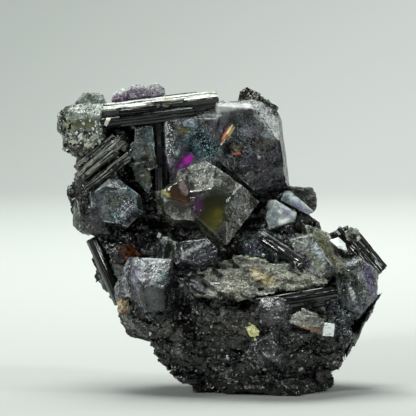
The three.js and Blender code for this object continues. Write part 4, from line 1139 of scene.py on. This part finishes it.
middle_marks = [
    ((-15.6, -1, 31.5), (-15.4, -1, 32.6), 0.4, (150, 160, 164), 0.7),
    ((-14, -1.4, 32.6), (-13, -1.4, 31.4), 0.8, (98, 96, 66), 0.6),
    ((-14.2, -1.2, 29.9), (-13.6, -1.2, 28.6), 0.5, (112, 106, 56), 0.7),
    ((-13.6, -1, 35.2), (-12.8, -1, 32.8), 1.5, (44, 92, 112), 1, "dotted"),
    ((-16.2, -1, 30.6), (-14.6, -1, 29.4), 1.2, (34, 38, 38), 0.8),
    ((-15.4, -1, 30.9), (-13.2, -1, 31.3), 0.3, (166, 172, 164), 0.8),
    ((-14.6, -1, 29.2), (-13.4, -1, 29.5), 0.3, (176, 180, 168), 0.8),
]
crystal("middle_fluorite", "smoky_fluorite", crystal_finish(
    "smoke_middle", (130, 138, 130), (102, 110, 108), (28, 34, 33), marks=middle_marks,
    rim=0.9), frosted=(0.35, 0.75), seed=14)


# The pale fluorites at the top left corner are sage-white under a crust, with an olive triangle in the
# upper one, black chips down their left side and white granules grown on the lower one. The row of crystals
# on the very top is purple, with painted highlights along its top edges.
pale_upper = [
    ((-22.8, -1.7, 36.5), (-0.05, -1, 0.08), 0.5),
    ((-22, -1.6, 37.7), (0.05, -0.5, 0.86), 0.7),
    ((-22.3, 0.6, 38.9), (-0.02, 0.2, 0.98), 0.6),
    ((-25.5, 0, 36.2), (-0.96, -0.25, 0.05), 0.5),
    ((-24.9, 0.2, 37.9), (-0.68, -0.2, 0.7), 0.5),
    ((-19.9, -1, 37), (0.95, -0.3, 0.05), 0.5),
    ((-22.6, -1.4, 34.9), (0.05, -0.4, -0.92), 0.5),
    ((-25, -0.4, 34.8), (-0.72, -0.2, -0.66), 0.5),
    ((-22.8, 2.6, 36.6), (0, 1, 0), 0.6),
]
pale_lower = [
    ((-22.3, -1.8, 34), (0.1, -0.95, 0.28), 0.7),
    ((-22.3, -1.4, 35.2), (0, -0.3, 0.95), 0.8),
    ((-24.5, -1, 33.9), (-0.9, -0.3, -0.1), 0.4),
    ((-23.7, -1, 32.7), (-0.5, -0.3, -0.8), 0.4),
    ((-20.3, -1.4, 34.6), (0.85, -0.3, 0.3), 0.6),
    ((-21.5, -1, 32.7), (0.6, -0.2, -0.77), 0.4),
    ((-22.5, 2, 33.9), (0, 1, 0), 0.5),
]
pale_behind = [
    ((-21.8, 3, 40.3), (0.1, 0, 1), 0.7),
    ((-22.9, 3, 39.4), (-0.8, -0.2, 0.6), 0.7),
    ((-20, 3, 39.4), (0.85, -0.1, 0.5), 0.7),
    ((-21.6, 1.8, 39), (0, -1, 0.1), 0.7),
    ((-21.6, 5.2, 39), (0, 1, 0), 0.7),
    ((-21.6, 3, 36.6), (0, 0, -1), 0.7),
]
pale_marks = [
    ((-24.2, -1.7, 36), (-21.2, -1.8, 36.2), 0.95, (88, 92, 58), 0.9, "solid"),
    ((-23.2, -1.8, 36.4), (-21.9, -1.8, 36.8), 0.75, (62, 66, 42), 0.85, "solid"),
    ((-23.8, -1.2, 38), (-21.7, -1.2, 38.3), 0.7, (16, 18, 16), 1),
    ((-25.3, -1, 38), (-25.3, -1.2, 34.2), 1.15, (8, 12, 15), 1, "solid"),
    ((-25, -1.2, 34.2), (-23.8, -1.2, 32.2), 1.2, (10, 12, 12), 1, "solid"),
    ((-24, -1.8, 33.8), (-20.8, -1.8, 34.8), 1.2, (222, 220, 208), 0.85),
    ((-23.2, -1.8, 34.4), (-22.6, -1.8, 33.6), 0.8, (26, 28, 26), 1),
    ((-21.8, -1.8, 34.9), (-21.2, -1.8, 34.2), 0.6, (32, 34, 30), 1),
    # Painted shade: a dark line where the upper crystal meets the lower one.
    ((-24.2, -1.7, 35), (-20.4, -1.6, 35.2), 0.6, (24, 26, 22), 0.95, "solid"),
    ((-23.4, -1.4, 32.8), (-21, -1.4, 32.8), 1.4, (64, 46, 56), 0.95),
    ((-22.6, -1.4, 37.7), (-20.4, -1.4, 37.9), 1.2, (206, 214, 210), 0.9, "dotted"),
    ((-24.7, -1.6, 36.8), (-24.3, -1.6, 35.4), 0.8, (190, 194, 164), 0.8),
    ((-20.6, -1.4, 37.8), (-20.2, -1.4, 36), 1.0, (34, 42, 46), 0.9),
    ((-21.6, -2, 38), (-20.8, -2, 37.2), 0.9, (150, 158, 154), 0.8),
]
pale = crystal("pale_fluorite", "pale_fluorite", crystal_finish(
    "pale_corner", (196, 204, 190), (158, 166, 156), (60, 66, 56), marks=pale_marks, absorb=60,
    tint=(0.7, 0.75, 0.6, 1.0)),
    parts=(pale_upper, pale_lower, pale_behind), seed=31, steps=0.1, pits=0.12)
crust_zones = [((-25.4, -0.6, 36.8), 1.3, 1.0), ((-25, -0.8, 34.8), 1.1, 1.0), ((-24, -1, 32.8), 1.3, 0.8)]
grains("pale_crust", count=110, seed=51, size=(0.15, 0.45), lift=-0.1, slot="black_schorl",
       favour=lambda places: near(places, crust_zones), finish=chip_black, ground=pale.data)
granule_zones = [((-21.8, -2, 34), 1.4, 1.0), ((-20.4, -2, 34.9), 1.0, 1.0), ((-23.4, -2, 34.2), 0.8, 0.6)]
granule_white = grain_finish("granule_white", [WHITE, (190, 192, 180), (124, 126, 116)])
grains("pale_granules", count=90, seed=52, size=(0.12, 0.4), slot="pale_fluorite",
       favour=lambda places: near(places, granule_zones), finish=granule_white, ground=pale.data)
top_marks = [
    ((-17.8, 1, 39.7), (-16.4, 1, 40), 1.2, (86, 40, 90), 0.9),
    ((-15.2, 1, 40.2), (-14.2, 1, 40.5), 1.1, (88, 50, 94), 0.85),
    ((-13.4, 1, 40.2), (-12.6, 1, 40.3), 0.9, (92, 74, 92), 0.8),
    ((-17.2, 1, 39.4), (-16.8, 1, 39.2), 0.6, (120, 110, 70), 0.5),
    # Painted highlights along the top edges and down between the crystals.
    ((-18.6, 1.2, 40.4), (-16.6, 1.4, 41.2), 1, WHITE, 0.95),
    ((-15.8, 1.4, 41.4), (-14.2, 1.4, 41.5), 0.9, WHITE, 0.9),
    ((-13.6, 1.4, 41.2), (-12.2, 1.4, 41.2), 0.9, WHITE, 0.9),
    ((-16.2, 1, 40.8), (-15.6, 1, 39.8), 0.6, WHITE, 0.9),
]
crystal("top_fluorite", "purple_fluorite", crystal_finish(
    "purple_top", (176, 150, 182), (186, 184, 188), (104, 82, 110), marks=top_marks, rim=1,
    glint_strength=1, absorb=60), grid=0.12, seed=41, pits=0.06)


# Right of the middle stand a bluish-white block with a lavender streak and, above it, a thin blade that is
# cream and blue with a purple end.
white_faces = [
    ((3.8, -2.3, 23.9), (-0.1, -1, 0.12), 0.6),
    ((4.5, -2.2, 25), (0.42, -0.62, 0.66), 0.75),
    ((2.8, -1.6, 25), (-0.9, -0.2, 0.38), 0.6),
    ((2.3, -1.4, 23.1), (-0.95, -0.25, -0.1), 0.7),
    ((3.9, -1.6, 22.3), (0.28, -0.3, -0.91), 0.5),
    ((6.2, -1, 23.8), (0.95, -0.1, -0.3), 0.5),
    ((4.6, -1, 25.2), (0.5, 0.2, 0.84), 0.7),
    ((4.1, 1.6, 23.8), (0, 1, 0), 0.5),
]
white_marks = [
    # Painted shade: the left part is darker grey-blue.
    ((2.8, -2.4, 24.4), (3.4, -2.4, 23), 1.1, (104, 124, 132), 0.8),
    ((3.6, -2.4, 24.2), (4.4, -2.4, 23.4), 0.4, (120, 136, 142), 0.8),
    ((3.9, -2.5, 25), (5.2, -2.4, 24.4), 0.55, (142, 120, 172), 0.9),
    # Painted light: the lower right face is bright white.
    ((4.2, -2.3, 23.2), (5.8, -1.8, 23.8), 0.8, (252, 253, 253), 0.9, "solid"),
    ((3, -2.2, 22.6), (5, -2, 22.5), 0.5, (116, 112, 66), 0.8),
    # Painted highlight: a white line on the left edge.
    ((2.9, -1.8, 25.2), (2.4, -1.8, 23.8), 0.4, (246, 250, 250), 0.8),
]
crystal("white_fluorite", "pale_fluorite", crystal_finish(
    "pale_white", (220, 230, 234), (252, 253, 254), (186, 200, 204), marks=white_marks,
    absorb=30, tint=(0.75, 0.8, 0.85, 1.0)), parts=(white_faces,), grid=0.11, seed=32)
blade_marks = [
    ((4.4, -1.2, 27), (5, -1.2, 26.8), 0.8, (214, 210, 180), 0.9),
    ((4.8, -1.4, 26), (6.4, -1.5, 25.2), 1.2, (58, 84, 96), 0.9),
    ((6.4, -1.5, 25.3), (7.8, -1.5, 24.5), 1, (112, 84, 146), 0.9),
    ((5.4, -1, 26.6), (7.4, -1.2, 25.6), 0.5, (206, 220, 226), 0.8),
]
crystal("blade_fluorite", "purple_fluorite", crystal_finish(
    "purple_blade", (180, 180, 200), (204, 212, 216), (104, 122, 134), marks=blade_marks,
    absorb=80), frosted=(0.6, 0.95), grid=0.11, seed=42)


# Frosted purple-grey fluorites at the left front of the ledge, with painted highlights on their rims, and two
# small glassy points above them. All are grown into the rock beside the ledge.
ridge_faces = [
    ((-6.6, -7.2, 19), (-0.12, -0.86, 0.5), 0.4),
    ((-6.7, -5.6, 21), (-0.1, 0.25, 0.96), 0.6),
    ((-4.9, -5.8, 20.5), (0.62, -0.1, 0.78), 0.7),
    ((-4.2, -6, 19.1), (0.9, -0.3, -0.3), 0.4),
    ((-6.3, -7, 17.4), (0.25, -0.6, -0.76), 0.4),
    ((-9.4, -6, 19.1), (-0.9, -0.4, 0.1), 0.8),
    ((-8.4, -6.8, 18), (-0.45, -0.5, -0.74), 0.5),
    ((-7, -3.2, 18.9), (0, 1, 0), 0.5),
]
ridge_marks = [
    # Painted highlight along the top edge.
    ((-9.4, -6.8, 18.8), (-5.4, -6.4, 21), 0.6, (178, 178, 184), 0.8),
    ((-9.2, -7.2, 18.4), (-8.2, -7.2, 18), 0.8, (130, 126, 140), 0.7),
    ((-7, -7.2, 18.8), (-5.4, -7, 19.6), 1.2, (50, 46, 56), 0.8, "solid"),
    ((-7.6, -7.4, 17.6), (-6.6, -7.4, 17.4), 0.7, (84, 66, 96), 0.6),
]
crystal("ridge_fluorite", "smoky_fluorite", crystal_finish(
    "smoke_ridge", SMOKE_GLASS, (58, 57, 62), (22, 21, 25), marks=ridge_marks),
    parts=(ridge_faces,), grid=0.11, seed=15, pits=0.06)
corner_upper = [
    ((-13.3, -6.8, 16.6), (-0.05, -0.82, 0.57), 0.9),
    ((-13.4, -5, 18.5), (0.05, 0.1, 0.99), 0.9),
    ((-15.9, -5.2, 17.2), (-0.85, -0.3, 0.42), 0.8),
    ((-15.9, -5.6, 15.2), (-0.75, -0.6, -0.1), 0.6),
    ((-15, -6.4, 14.3), (-0.15, -0.5, -0.85), 0.5),
    ((-10.7, -6, 16.7), (0.95, -0.3, 0), 0.5),
    ((-11.8, -7, 15.2), (0.5, -0.6, -0.6), 0.5),
    ((-13.5, -2.4, 16.4), (0, 1, 0), 0.5),
]
corner_lower = [
    ((-12.9, -7.5, 13.4), (0.05, -0.98, -0.15), 0.45),
    ((-12.9, -7.7, 15.1), (0, -0.3, 0.95), 0.5),
    ((-14.3, -7, 13.1), (-0.85, -0.4, -0.3), 0.4),
    ((-11.2, -7, 13.4), (0.95, -0.3, 0), 0.4),
    ((-12.4, -7, 11.8), (0.1, -0.3, -0.95), 0.4),
    ((-13, -3, 13), (0, 1, 0), 0.5),
]
corner_marks = [
    ((-13, -7.7, 13.7), (-12.7, -7.6, 12.2), 2.6, (72, 76, 76), 0.85, "solid"),
    ((-14.4, -7, 14.2), (-14.2, -7, 12.4), 1.2, (12, 13, 14), 0.95, "solid"),
    ((-11.2, -7.4, 16), (-10.9, -7.4, 12.4), 1.6, (24, 25, 27), 0.9),
    # Frosted, and painted bright on top where the light above falls.
    ((-12.6, -6.8, 17.4), (-11.4, -6.8, 16.2), 1.5, (206, 210, 208), 1, "dotted"),
    ((-13, -7.6, 15.4), (-11.6, -7.6, 15), 0.5, (150, 156, 158), 0.8),
    ((-15.5, -6.6, 17), (-15, -6.6, 16.4), 0.9, (96, 70, 120), 0.7),
    ((-15.6, -6.4, 15.2), (-14.8, -6.6, 14.8), 0.9, (146, 134, 168), 0.7),
    ((-11.8, -6.6, 16.4), (-10.9, -6.6, 15.4), 0.9, (98, 122, 134), 0.7),
    # Painted highlight along the top edge.
    ((-15, -6.2, 18.2), (-11.6, -6.2, 18.2), 0.5, (196, 198, 200), 0.7),
]
crystal("corner_fluorite", "smoky_fluorite", crystal_finish(
    "smoke_corner", SMOKE_GLASS, (136, 136, 142), (58, 54, 64), marks=corner_marks, glint_strength=1),
    parts=(corner_upper, corner_lower), grid=0.11, seed=16, pits=0.08)
point_marks = [
    ((-11.7, -4.4, 21.2), (-10.4, -4.4, 20.8), 0.5, (190, 198, 194), 0.8),
    ((-10, -4.6, 20.2), (-9.4, -4.8, 19), 0.7, (120, 104, 84), 0.8),
]
crystal("point_fluorite", "pale_fluorite", crystal_finish(
    "pale_points", (120, 132, 126), (84, 90, 86), (26, 30, 28), marks=point_marks, absorb=160,
    tint=(0.6, 0.65, 0.6, 1.0)), frosted=(0.05, 0.5), grid=0.11, seed=33)


# The crystals on the right slope and shoulder: long grey-green ones with bluish-white edges, the grey block
# with a purple right rim below them, the small pale cap on the shoulder, and the pale block on the left edge.
slope_faces = [
    ((8.2, -5, 18.5), (-0.15, -0.9, 0.4), 0.5),
    ((6.6, -3.4, 21.2), (-0.2, -0.1, 0.97), 0.6),
    ((9.3, -4.2, 19.8), (0.8, -0.1, 0.6), 0.8),
    ((5.9, -4.4, 19.5), (-0.9, -0.42, -0.1), 0.5),
    ((8.4, -5.6, 16.4), (-0.5, -0.4, -0.77), 0.5),
    ((10.4, -5, 16.6), (0.7, -0.4, -0.6), 0.6),
    ((8.1, -1.4, 18.5), (0, 1, 0), 0.5),
]
olive_faces = [
    ((10, -3, 19.4), (0.25, -0.85, 0.46), 0.5),
    ((9.8, -1, 21.8), (0.35, 0.1, 0.93), 0.7),
    ((11.6, -2.8, 19.4), (0.85, -0.1, 0.52), 0.6),
    ((8.5, -3, 19.4), (-0.85, -0.42, -0.2), 0.4),
    ((10.6, -4.2, 16.7), (-0.2, -0.5, -0.84), 0.4),
    ((10.2, 1, 19.1), (0, 1, 0), 0.5),
]
right_faces = [
    ((13.6, -4, 14.9), (-0.2, -0.96, 0.12), 0.35),
    ((15.5, -3.4, 15.4), (0.55, -0.82, 0.1), 0.5),
    ((13.6, -2.8, 18), (-0.15, -0.2, 0.97), 0.8),
    ((15.6, -2, 17.7), (0.62, 0, 0.78), 0.7),
    ((17.1, -1.2, 14.7), (1, -0.1, 0.02), 0.5),
    ((16.4, -1.6, 12.1), (0.75, -0.2, -0.63), 0.5),
    ((13.8, -3, 10.7), (-0.25, -0.4, -0.88), 0.5),
    ((11.5, -3.2, 15.1), (-0.92, -0.38, -0.05), 0.6),
    ((14.4, 2.4, 14.1), (0, 1, 0), 0.5),
]
slope_marks = [
    ((8.2, -4.6, 20.4), (10.6, -5.2, 16.6), 0.8, (176, 188, 200), 0.85),
    ((6.6, -4.8, 19.8), (7.4, -5.4, 17.4), 1.3, (76, 58, 90), 0.8),
    ((7.6, -5, 19.8), (9.4, -5.4, 17), 0.9, (118, 122, 96), 0.7),
    ((7.2, -4.6, 20.8), (6.4, -4.8, 19.8), 0.8, (72, 96, 104), 0.7),
]
crystal("slope_fluorite", "pale_fluorite", crystal_finish(
    "pale_slope", (150, 158, 150), (144, 148, 140), (54, 54, 54), marks=slope_marks,
    absorb=120, tint=(0.6, 0.62, 0.6, 1.0)), parts=(slope_faces,), grid=0.11, seed=34, pits=0.1)
olive_marks = [
    ((9.6, -2.4, 21), (11.2, -4, 17.6), 1.2, (92, 90, 52), 0.8),
    ((10.6, -2.6, 20.4), (12, -3.6, 17.8), 0.5, (170, 174, 166), 0.8),
    ((11.4, -3.6, 19), (11.8, -4, 17.6), 0.6, (96, 104, 100), 0.6),
]
crystal("olive_fluorite", "olive_fluorite", crystal_finish(
    "olive_slope", OLIVE_GLASS, (144, 146, 126), (58, 58, 44), marks=olive_marks, absorb=120,
    tint=(0.6, 0.6, 0.4, 1.0)), parts=(olive_faces,), seed=22, pits=0.1)
right_marks = [
    ((15.6, -3.2, 17), (16.6, -2.4, 12.6), 1.1, (104, 82, 134), 0.85),
    # Painted highlights: white lines along the edges.
    ((12.9, -4.2, 15.4), (13.8, -4.2, 13), 0.55, (206, 210, 206), 0.9),
    ((14.4, -4, 17.4), (15.8, -3.4, 14.4), 0.4, (190, 196, 198), 0.8),
    ((12.6, -3.8, 17.6), (15.6, -3, 17.6), 0.7, (186, 190, 198), 0.8),
    ((13.4, -3.8, 11.8), (15.4, -3, 11.6), 1.6, (136, 130, 156), 0.8),
    ((12.2, -4, 13.2), (12.6, -4, 11.6), 0.8, (40, 54, 62), 0.8),
    ((12.6, -4.2, 16.8), (13.6, -4.4, 15.8), 0.8, (108, 116, 106), 0.5),
]
crystal("right_fluorite", "pale_fluorite", crystal_finish(
    "pale_right", (150, 158, 154), (150, 156, 154), (44, 46, 46), marks=right_marks,
    absorb=120, tint=(0.6, 0.62, 0.62, 1.0)), parts=(right_faces,), seed=35, pits=0.08)
crystal("cap_fluorite", "pale_fluorite", crystal_finish(
    "pale_cap", (190, 196, 184), (164, 166, 154), (70, 72, 66), absorb=60), grid=0.1, seed=36)
crystal("edge_fluorite", "pale_fluorite", crystal_finish(
    "pale_edge", (170, 178, 166), (126, 132, 122), (52, 56, 50), absorb=80), grid=0.12, seed=37)


# Two rounded purplish-grey fluorites low on the front, with sugary faces and orange specks. Each is grown
# into a hollow of the rock.
upper_faces = [
    ((2.9, -10.3, 12), (0.02, -1, 0.12), 0.6),
    ((2.7, -9.2, 13.4), (-0.1, -0.55, 0.83), 0.6),
    ((1, -8.8, 12.7), (-0.8, -0.35, 0.48), 0.6),
    ((4.5, -8.8, 12.8), (0.72, -0.3, 0.62), 0.5),
    ((4.9, -8.8, 11.3), (0.9, -0.4, -0.15), 0.5),
    ((0.8, -8.8, 11.2), (-0.92, -0.35, -0.15), 0.6),
    ((2.7, -9.2, 10.2), (0, -0.6, -0.8), 0.5),
    ((2.8, -8, 13.6), (0, 0.2, 0.98), 0.5),
    ((2.8, -5.4, 11.3), (0, 1, 0), 0.5),
]
lower_faces = [
    ((2.1, -9.5, 7), (0.05, -0.99, 0.08), 0.5),
    ((2.1, -8, 8.6), (-0.12, -0.45, 0.88), 0.6),
    ((3.7, -7.6, 7.9), (0.75, -0.3, 0.59), 0.5),
    ((4.1, -7.4, 6.2), (0.85, -0.4, -0.34), 0.5),
    ((0.3, -7.6, 7.2), (-0.92, -0.38, 0.1), 0.6),
    ((1, -7.4, 5.4), (-0.65, -0.45, -0.61), 0.4),
    ((2.6, -7, 4.7), (0.1, -0.4, -0.91), 0.4),
    ((2.2, -4, 6.3), (0, 1, 0), 0.5),
]
upper_marks = [
    ((2.2, -9.9, 11), (2.8, -9.9, 10.8), 0.5, (132, 86, 54), 0.7),
    ((1.2, -9.4, 12.4), (1.6, -9.6, 11.2), 0.6, (80, 64, 96), 0.6),
]
lower_marks = [
    ((2.6, -8.9, 5.2), (3, -8.8, 5.6), 0.4, (126, 84, 56), 0.6),
    ((1, -8.6, 7.8), (2.6, -8.6, 8.4), 0.5, (130, 132, 132), 0.5),
]
for name, faces, marks, seed in (
    ("upper_knob", upper_faces, upper_marks, 17),
    ("lower_knob", lower_faces, lower_marks, 18),
):
    knob_finish = crystal_finish(
        "smoke_" + name, SMOKE_GLASS, (116, 112, 116), (56, 54, 58), marks=marks, rim=0.5, glint_strength=1)
    crystal(name, "smoky_fluorite", knob_finish, parts=(faces,), grid=0.11, seed=seed, pits=0.09)


# The back of the specimen carries three more fluorites, smoky like the largest one on the front. They are
# grown into the rock there.
back_finish = crystal_finish("smoke_back", SMOKE_GLASS, SMOKE_SKIN, SMOKE_SHADE)
for name, slot, seed in (
    ("back_fluorite_high", "smoky_fluorite", 19),
    ("back_fluorite_low", "smoky_fluorite", 20),
    ("back_fluorite_small", "purple_fluorite", 43),
):
    crystal(name, slot, back_finish, grid=0.17, seed=seed)


# The ledge across the middle is sandy feldspar, grey-tan with a golden spot, rust spots and pale granules. A
# smaller wedge of it, light grey above and golden brown below, lies under the ledge on the right.
SAND_STRETCH = np.array([0.4, 0.8, 1.6])


def sandy_mesh(name, grid, seed):
    mesh = even_mesh(name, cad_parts[name].data, grid)
    points = columns(mesh)
    height = 0.3 * broken(points @ ROCK_DIP * SAND_STRETCH, 1.5, seed)
    height += 0.14 * broken(points * SAND_STRETCH, 0.6, seed + 9) + 0.07 * broken(points, 0.3, seed + 18)
    points += columns(mesh, "normal") * height[:, None]
    move_points(mesh, points)
    return mesh


def sandy_finish(name, tones, marks):
    """Sand-like feldspar in streaks of a dark, a middle and a light tone, with marks of other colours."""
    surface = Surface(name)
    place = surface.place()
    ragged = warped(surface, place, 0.7, 1.4)
    along = surface.vectors("MULTIPLY", ragged, (0.35, 0.6, 1.3))
    cloud = surface.noise(along, 1.1, 5.0)
    fine = surface.noise(place, 0.25, 5.0)
    red, green, _ = channels(surface, surface.cells(place, 0.21, "Color"))
    dark, middle, light = tones
    colour = surface.mix(surface.step(cloud + 0.3 * (red - 0.5), 0.36, 0.5), dark, middle)
    colour = surface.mix(surface.step(cloud + 0.4 * (red - 0.5), 0.52, 0.68), colour, light)
    for start, end, width, tint, strength in marks:
        mark = streak(surface, ragged, start, end, width) * surface.step(fine + 0.4 * green, 0.35, 0.75)
        colour = surface.mix(mark * strength, colour, tint)
    colour = surface.mix(surface.step(green + cloud, 1.42, 1.5) * 0.8, colour, (196, 198, 192))
    colour = surface.mix(surface.step(red - cloud, 0.42, 0.5) * 0.8, colour, (44, 43, 40))
    normal = surface.bump(fine, 0.12, facet_normal(surface, place, 0.25, 0.7))
    return surface.solid(colour, 0.4, normal, FELDSPAR_IOR)


GOLD = (206, 186, 142)
shelf_marks = [
    ((-9.4, -7.4, 14.4), (-3.4, -8.4, 12.4), 2, (22, 22, 21), 1),
    ((-3.4, -8.8, 12.3), (4.4, -8.6, 12.4), 1.6, (26, 25, 23), 1),
    ((4.4, -7.6, 13.6), (11, -6.4, 14.2), 1.6, (24, 24, 22), 1),
    ((-5, -7, 17.3), (-1.4, -6.6, 18), 1.4, (50, 52, 48), 0.9),
    ((3.4, -6.4, 18.4), (6.4, -6, 17.2), 1.1, (30, 31, 29), 0.9),
    ((7.6, -6.4, 16.8), (11, -6, 15.8), 1, (60, 60, 56), 0.8),
    ((0.2, -7.6, 16.9), (2.6, -7.4, 15.6), 1.1, GOLD, 0.8),
    ((1, -7.6, 15.4), (2.6, -7.6, 15.1), 0.4, (140, 104, 60), 0.7),
    ((-2, -7.8, 14.4), (-1.4, -8, 13), 0.8, (134, 92, 52), 0.7),
    ((-3.4, -7, 16.4), (-2.2, -7.2, 15.2), 0.7, (104, 74, 48), 0.6),
    ((-3.2, -8, 13.4), (-0.8, -8.4, 13.2), 0.6, (196, 188, 142), 0.7),
    ((-9.4, -7.4, 16.4), (-6.4, -7.6, 15), 1.8, (84, 78, 92), 0.9),
    ((-5.6, -7, 16.6), (-3.8, -7.6, 14.4), 1.5, (98, 94, 92), 0.8),
    ((-1, -7, 17.6), (1.6, -7.6, 14.8), 0.5, (44, 42, 38), 0.8),
    ((2.4, -6.8, 17.2), (6.4, -7, 14.8), 0.5, (52, 50, 46), 0.8),
    ((5.4, -6.4, 17.2), (8.8, -6.8, 15), 0.45, (46, 46, 42), 0.8),
    ((2.6, -7, 17.4), (9.4, -6, 15.4), 0.7, (166, 164, 152), 0.6),
    ((4.6, -6.6, 15.4), (7.4, -6.4, 15), 0.5, (138, 112, 76), 0.6),
    ((-0.6, -8.4, 14.6), (4, -8, 14.6), 0.6, (96, 96, 94), 0.7),
]
ledge_tones = ((84, 84, 76), (150, 149, 136), (196, 196, 184))
shelf_finish = sandy_finish("feldspar_ledge", ledge_tones, shelf_marks)
shelf_mesh = sandy_mesh("feldspar_shelf", grid=0.14, seed=71)
show("feldspar_shelf", shelf_mesh, shelf_finish, "feldspar", "feldspar_shelf")
wedge_marks = [
    ((5, -9, 11.2), (8.4, -8.6, 11.6), 0.9, (164, 166, 162), 0.8),
    ((6.6, -9.4, 9.8), (8.8, -8.6, 9), 0.8, (134, 96, 56), 0.8),
    ((8.8, -8.2, 11), (9.2, -8.2, 9.6), 0.4, (84, 66, 52), 0.7),
]
wedge_tones = ((92, 90, 84), (128, 128, 122), (150, 150, 146))
wedge_finish = sandy_finish("feldspar_wedge_sand", wedge_tones, wedge_marks)
wedge_mesh = sandy_mesh("feldspar_wedge", grid=0.11, seed=73)
show("feldspar_wedge", wedge_mesh, wedge_finish, "feldspar", "feldspar_wedge")
grains("ledge_grains", count=900, seed=46, size=(0.08, 0.24), slot="feldspar", favour=everywhere,
       finish=shelf_finish, ground=shelf_mesh)
ledge_black = splinter_finish("ledge_black", (20, 20, 20))
grains("ledge_splinters", count=120, seed=47, size=(0.05, 0.1), length=7, lift=0.3, slot="black_schorl",
       favour=everywhere, finish=ledge_black, ground=shelf_mesh)
ledge_ends = [
    ((-8, -7.4, 15.4), 1.8, 2.4), ((-4.4, -8.2, 13.6), 2, 1.4), ((1, -8.4, 12.6), 1.6, 0.7),
    ((10, -6.4, 15.4), 1.6, 0.8), ((5, -6.4, 17.6), 1.4, 0.5), ((-3, -6.4, 17.6), 1.4, 0.5),
]
lying("ledge_blocks", count=80, seed=48, lengths=(0.7, 2), radii=(0.2, 0.5), lift=-0.1, spread=0.5,
      sides=5, favour=lambda places: near(places, ledge_ends), finish=ledge_black, ground=shelf_mesh)


# Two flakes of mica: stacks of thin silvery sheets that flash white, one beside the wedge and a larger one
# on the shoulder.
MICA_IOR = 1.6
FLAKE_GRID = 0.1
SHEET = 0.3
SHEETS_FACE = np.array([0.5, 0.2, 0.84])


def flake_mesh(name, seed):
    mesh = even_mesh(name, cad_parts[name].data, FLAKE_GRID)
    points = columns(mesh)
    terraces = np.floor(points @ SHEETS_FACE / SHEET)
    height = 0.06 * (2 * chance(np.stack([terraces, terraces, terraces], axis=1).astype(np.int64), seed) - 1)
    points += columns(mesh, "normal") * (height + 0.03 * drift(points, 0.5, seed))[:, None]
    move_points(mesh, points)
    return mesh


def flake_finish(name, tone, marks):
    surface = Surface(name)
    place = surface.place()
    ragged = warped(surface, place, 0.4, 0.25)
    fine = surface.noise(surface.vectors("MULTIPLY", place, (0.4, 1, 1.6)), 0.3, 3.0)
    colour = surface.mix(surface.step(fine, 0.5, 0.75), tone, (150, 152, 150))
    for start, end, width, tint, strength in marks:
        colour = surface.mix(streak(surface, ragged, start, end, width) * strength, colour, tint)
    return surface.solid(colour, 0.18 + 0.2 * fine, surface.bump(fine, 0.03), MICA_IOR, coat_weight=0.6)


mica_marks = [
    ((9.3, -8.6, 10.4), (9.1, -8.6, 8.6), 0.28, (40, 42, 44), 0.95),
    ((9.9, -8.4, 10.2), (9.7, -8.4, 8.6), 0.16, (70, 78, 84), 0.9),
]
mica_white = flake_finish("mica_white", (244, 246, 246), mica_marks)
show("mica_flake", flake_mesh("mica_flake", seed=81), mica_white, "mica", "mica_flake")
flake_marks = [((11, -3, 20), (12.4, -3, 19.4), 0.3, (90, 90, 84), 0.8)]
show("bright_flake", flake_mesh("bright_flake", seed=82), flake_finish("mica_bright", WHITE, flake_marks),
     "mica", "bright_flake")


# Single bright crystals, about a millimetre across, sit between the larger ones, and the one low on the right
# front is a painted glint on the rock. Each one stands on what a line from the front meets first.
def front_at(x, z):
    """The place on the specimen that a line from the front meets first."""
    start = Vector((x, -60, z)) * MM
    hit = bpy.context.scene.ray_cast(bpy.context.evaluated_depsgraph_get(), start, Vector((0, 1, 0)))
    return np.array(hit[1]) / MM


bright_spots = [
    (-19.2, 36.5, 0.6), (-15.8, 35.7, 0.5), (-17, 32.8, 0.55), (-18.4, 33.8, 0.3), (-22.6, 34.9, 0.5),
    # The spot at (6.7, 3.7) is a painted glint on the rock.
    (-21, 34.6, 0.4), (6.7, 3.7, 0.5), (5.4, 5.6, 0.3), (-12.3, 20.9, 0.5), (1.6, 18.8, 0.3),
    (14.6, 20.7, 0.35), (-9.4, 11, 0.35), (-13.4, 8.4, 0.3),
]
bright_places = np.array([front_at(x, z) for x, z, _ in bright_spots])
bright_sizes = np.array([size for _, _, size in bright_spots])
random = np.random.default_rng(49)
bright_ways = np.array([0.2, -0.6, 0.75]) + 0.35 * random.normal(size=(len(bright_spots), 3))
bright_mesh = prisms(
    "bright_crystals", bright_places, bright_ways, bright_sizes * 1.3, bright_sizes, random, sides=4)
bright_tones = [(214, 217, 210), (226, 224, 206), (196, 200, 198)]
bright_finish = grain_finish("bright_crystal", bright_tones, ior=1.5, roughness=0.15)
show("bright_crystals", bright_mesh, bright_finish, "mica")


# A lemon-yellow grain low on the front and a tan and rust-brown one at the left corner, both rough and
# broken.
NUGGET_IOR = 1.5


def nugget_finish(name, low, high, stain):
    surface = Surface(name)
    place = surface.place()
    cloud = surface.noise(place, 0.7, 4.0)
    fine = surface.noise(place, 0.2, 4.0)
    colour = surface.mix(surface.step(cloud, 0.38, 0.6), low, high)
    colour = surface.mix(surface.step(surface.noise(place, 1.2, 4.0), 0.55, 0.66), colour, stain)
    normal = surface.bump(fine, 0.1, facet_normal(surface, place, 0.3, 0.6))
    return surface.solid(colour, 0.45, normal, NUGGET_IOR)


show("yellow_grain", block_mesh("yellow_grain", grid=0.09, relief=0.3, size=0.6, seed=91),
     nugget_finish("lemon", (206, 202, 134), (244, 242, 206), (128, 120, 74)),
     "yellow_grain", "yellow_grain")
show("rust_grain", block_mesh("rust_grain", grid=0.1, relief=0.2, size=0.7, seed=92),
     nugget_finish("rust", (96, 74, 52), (206, 190, 160), (150, 88, 40)),
     "rust_grain", "rust_grain")
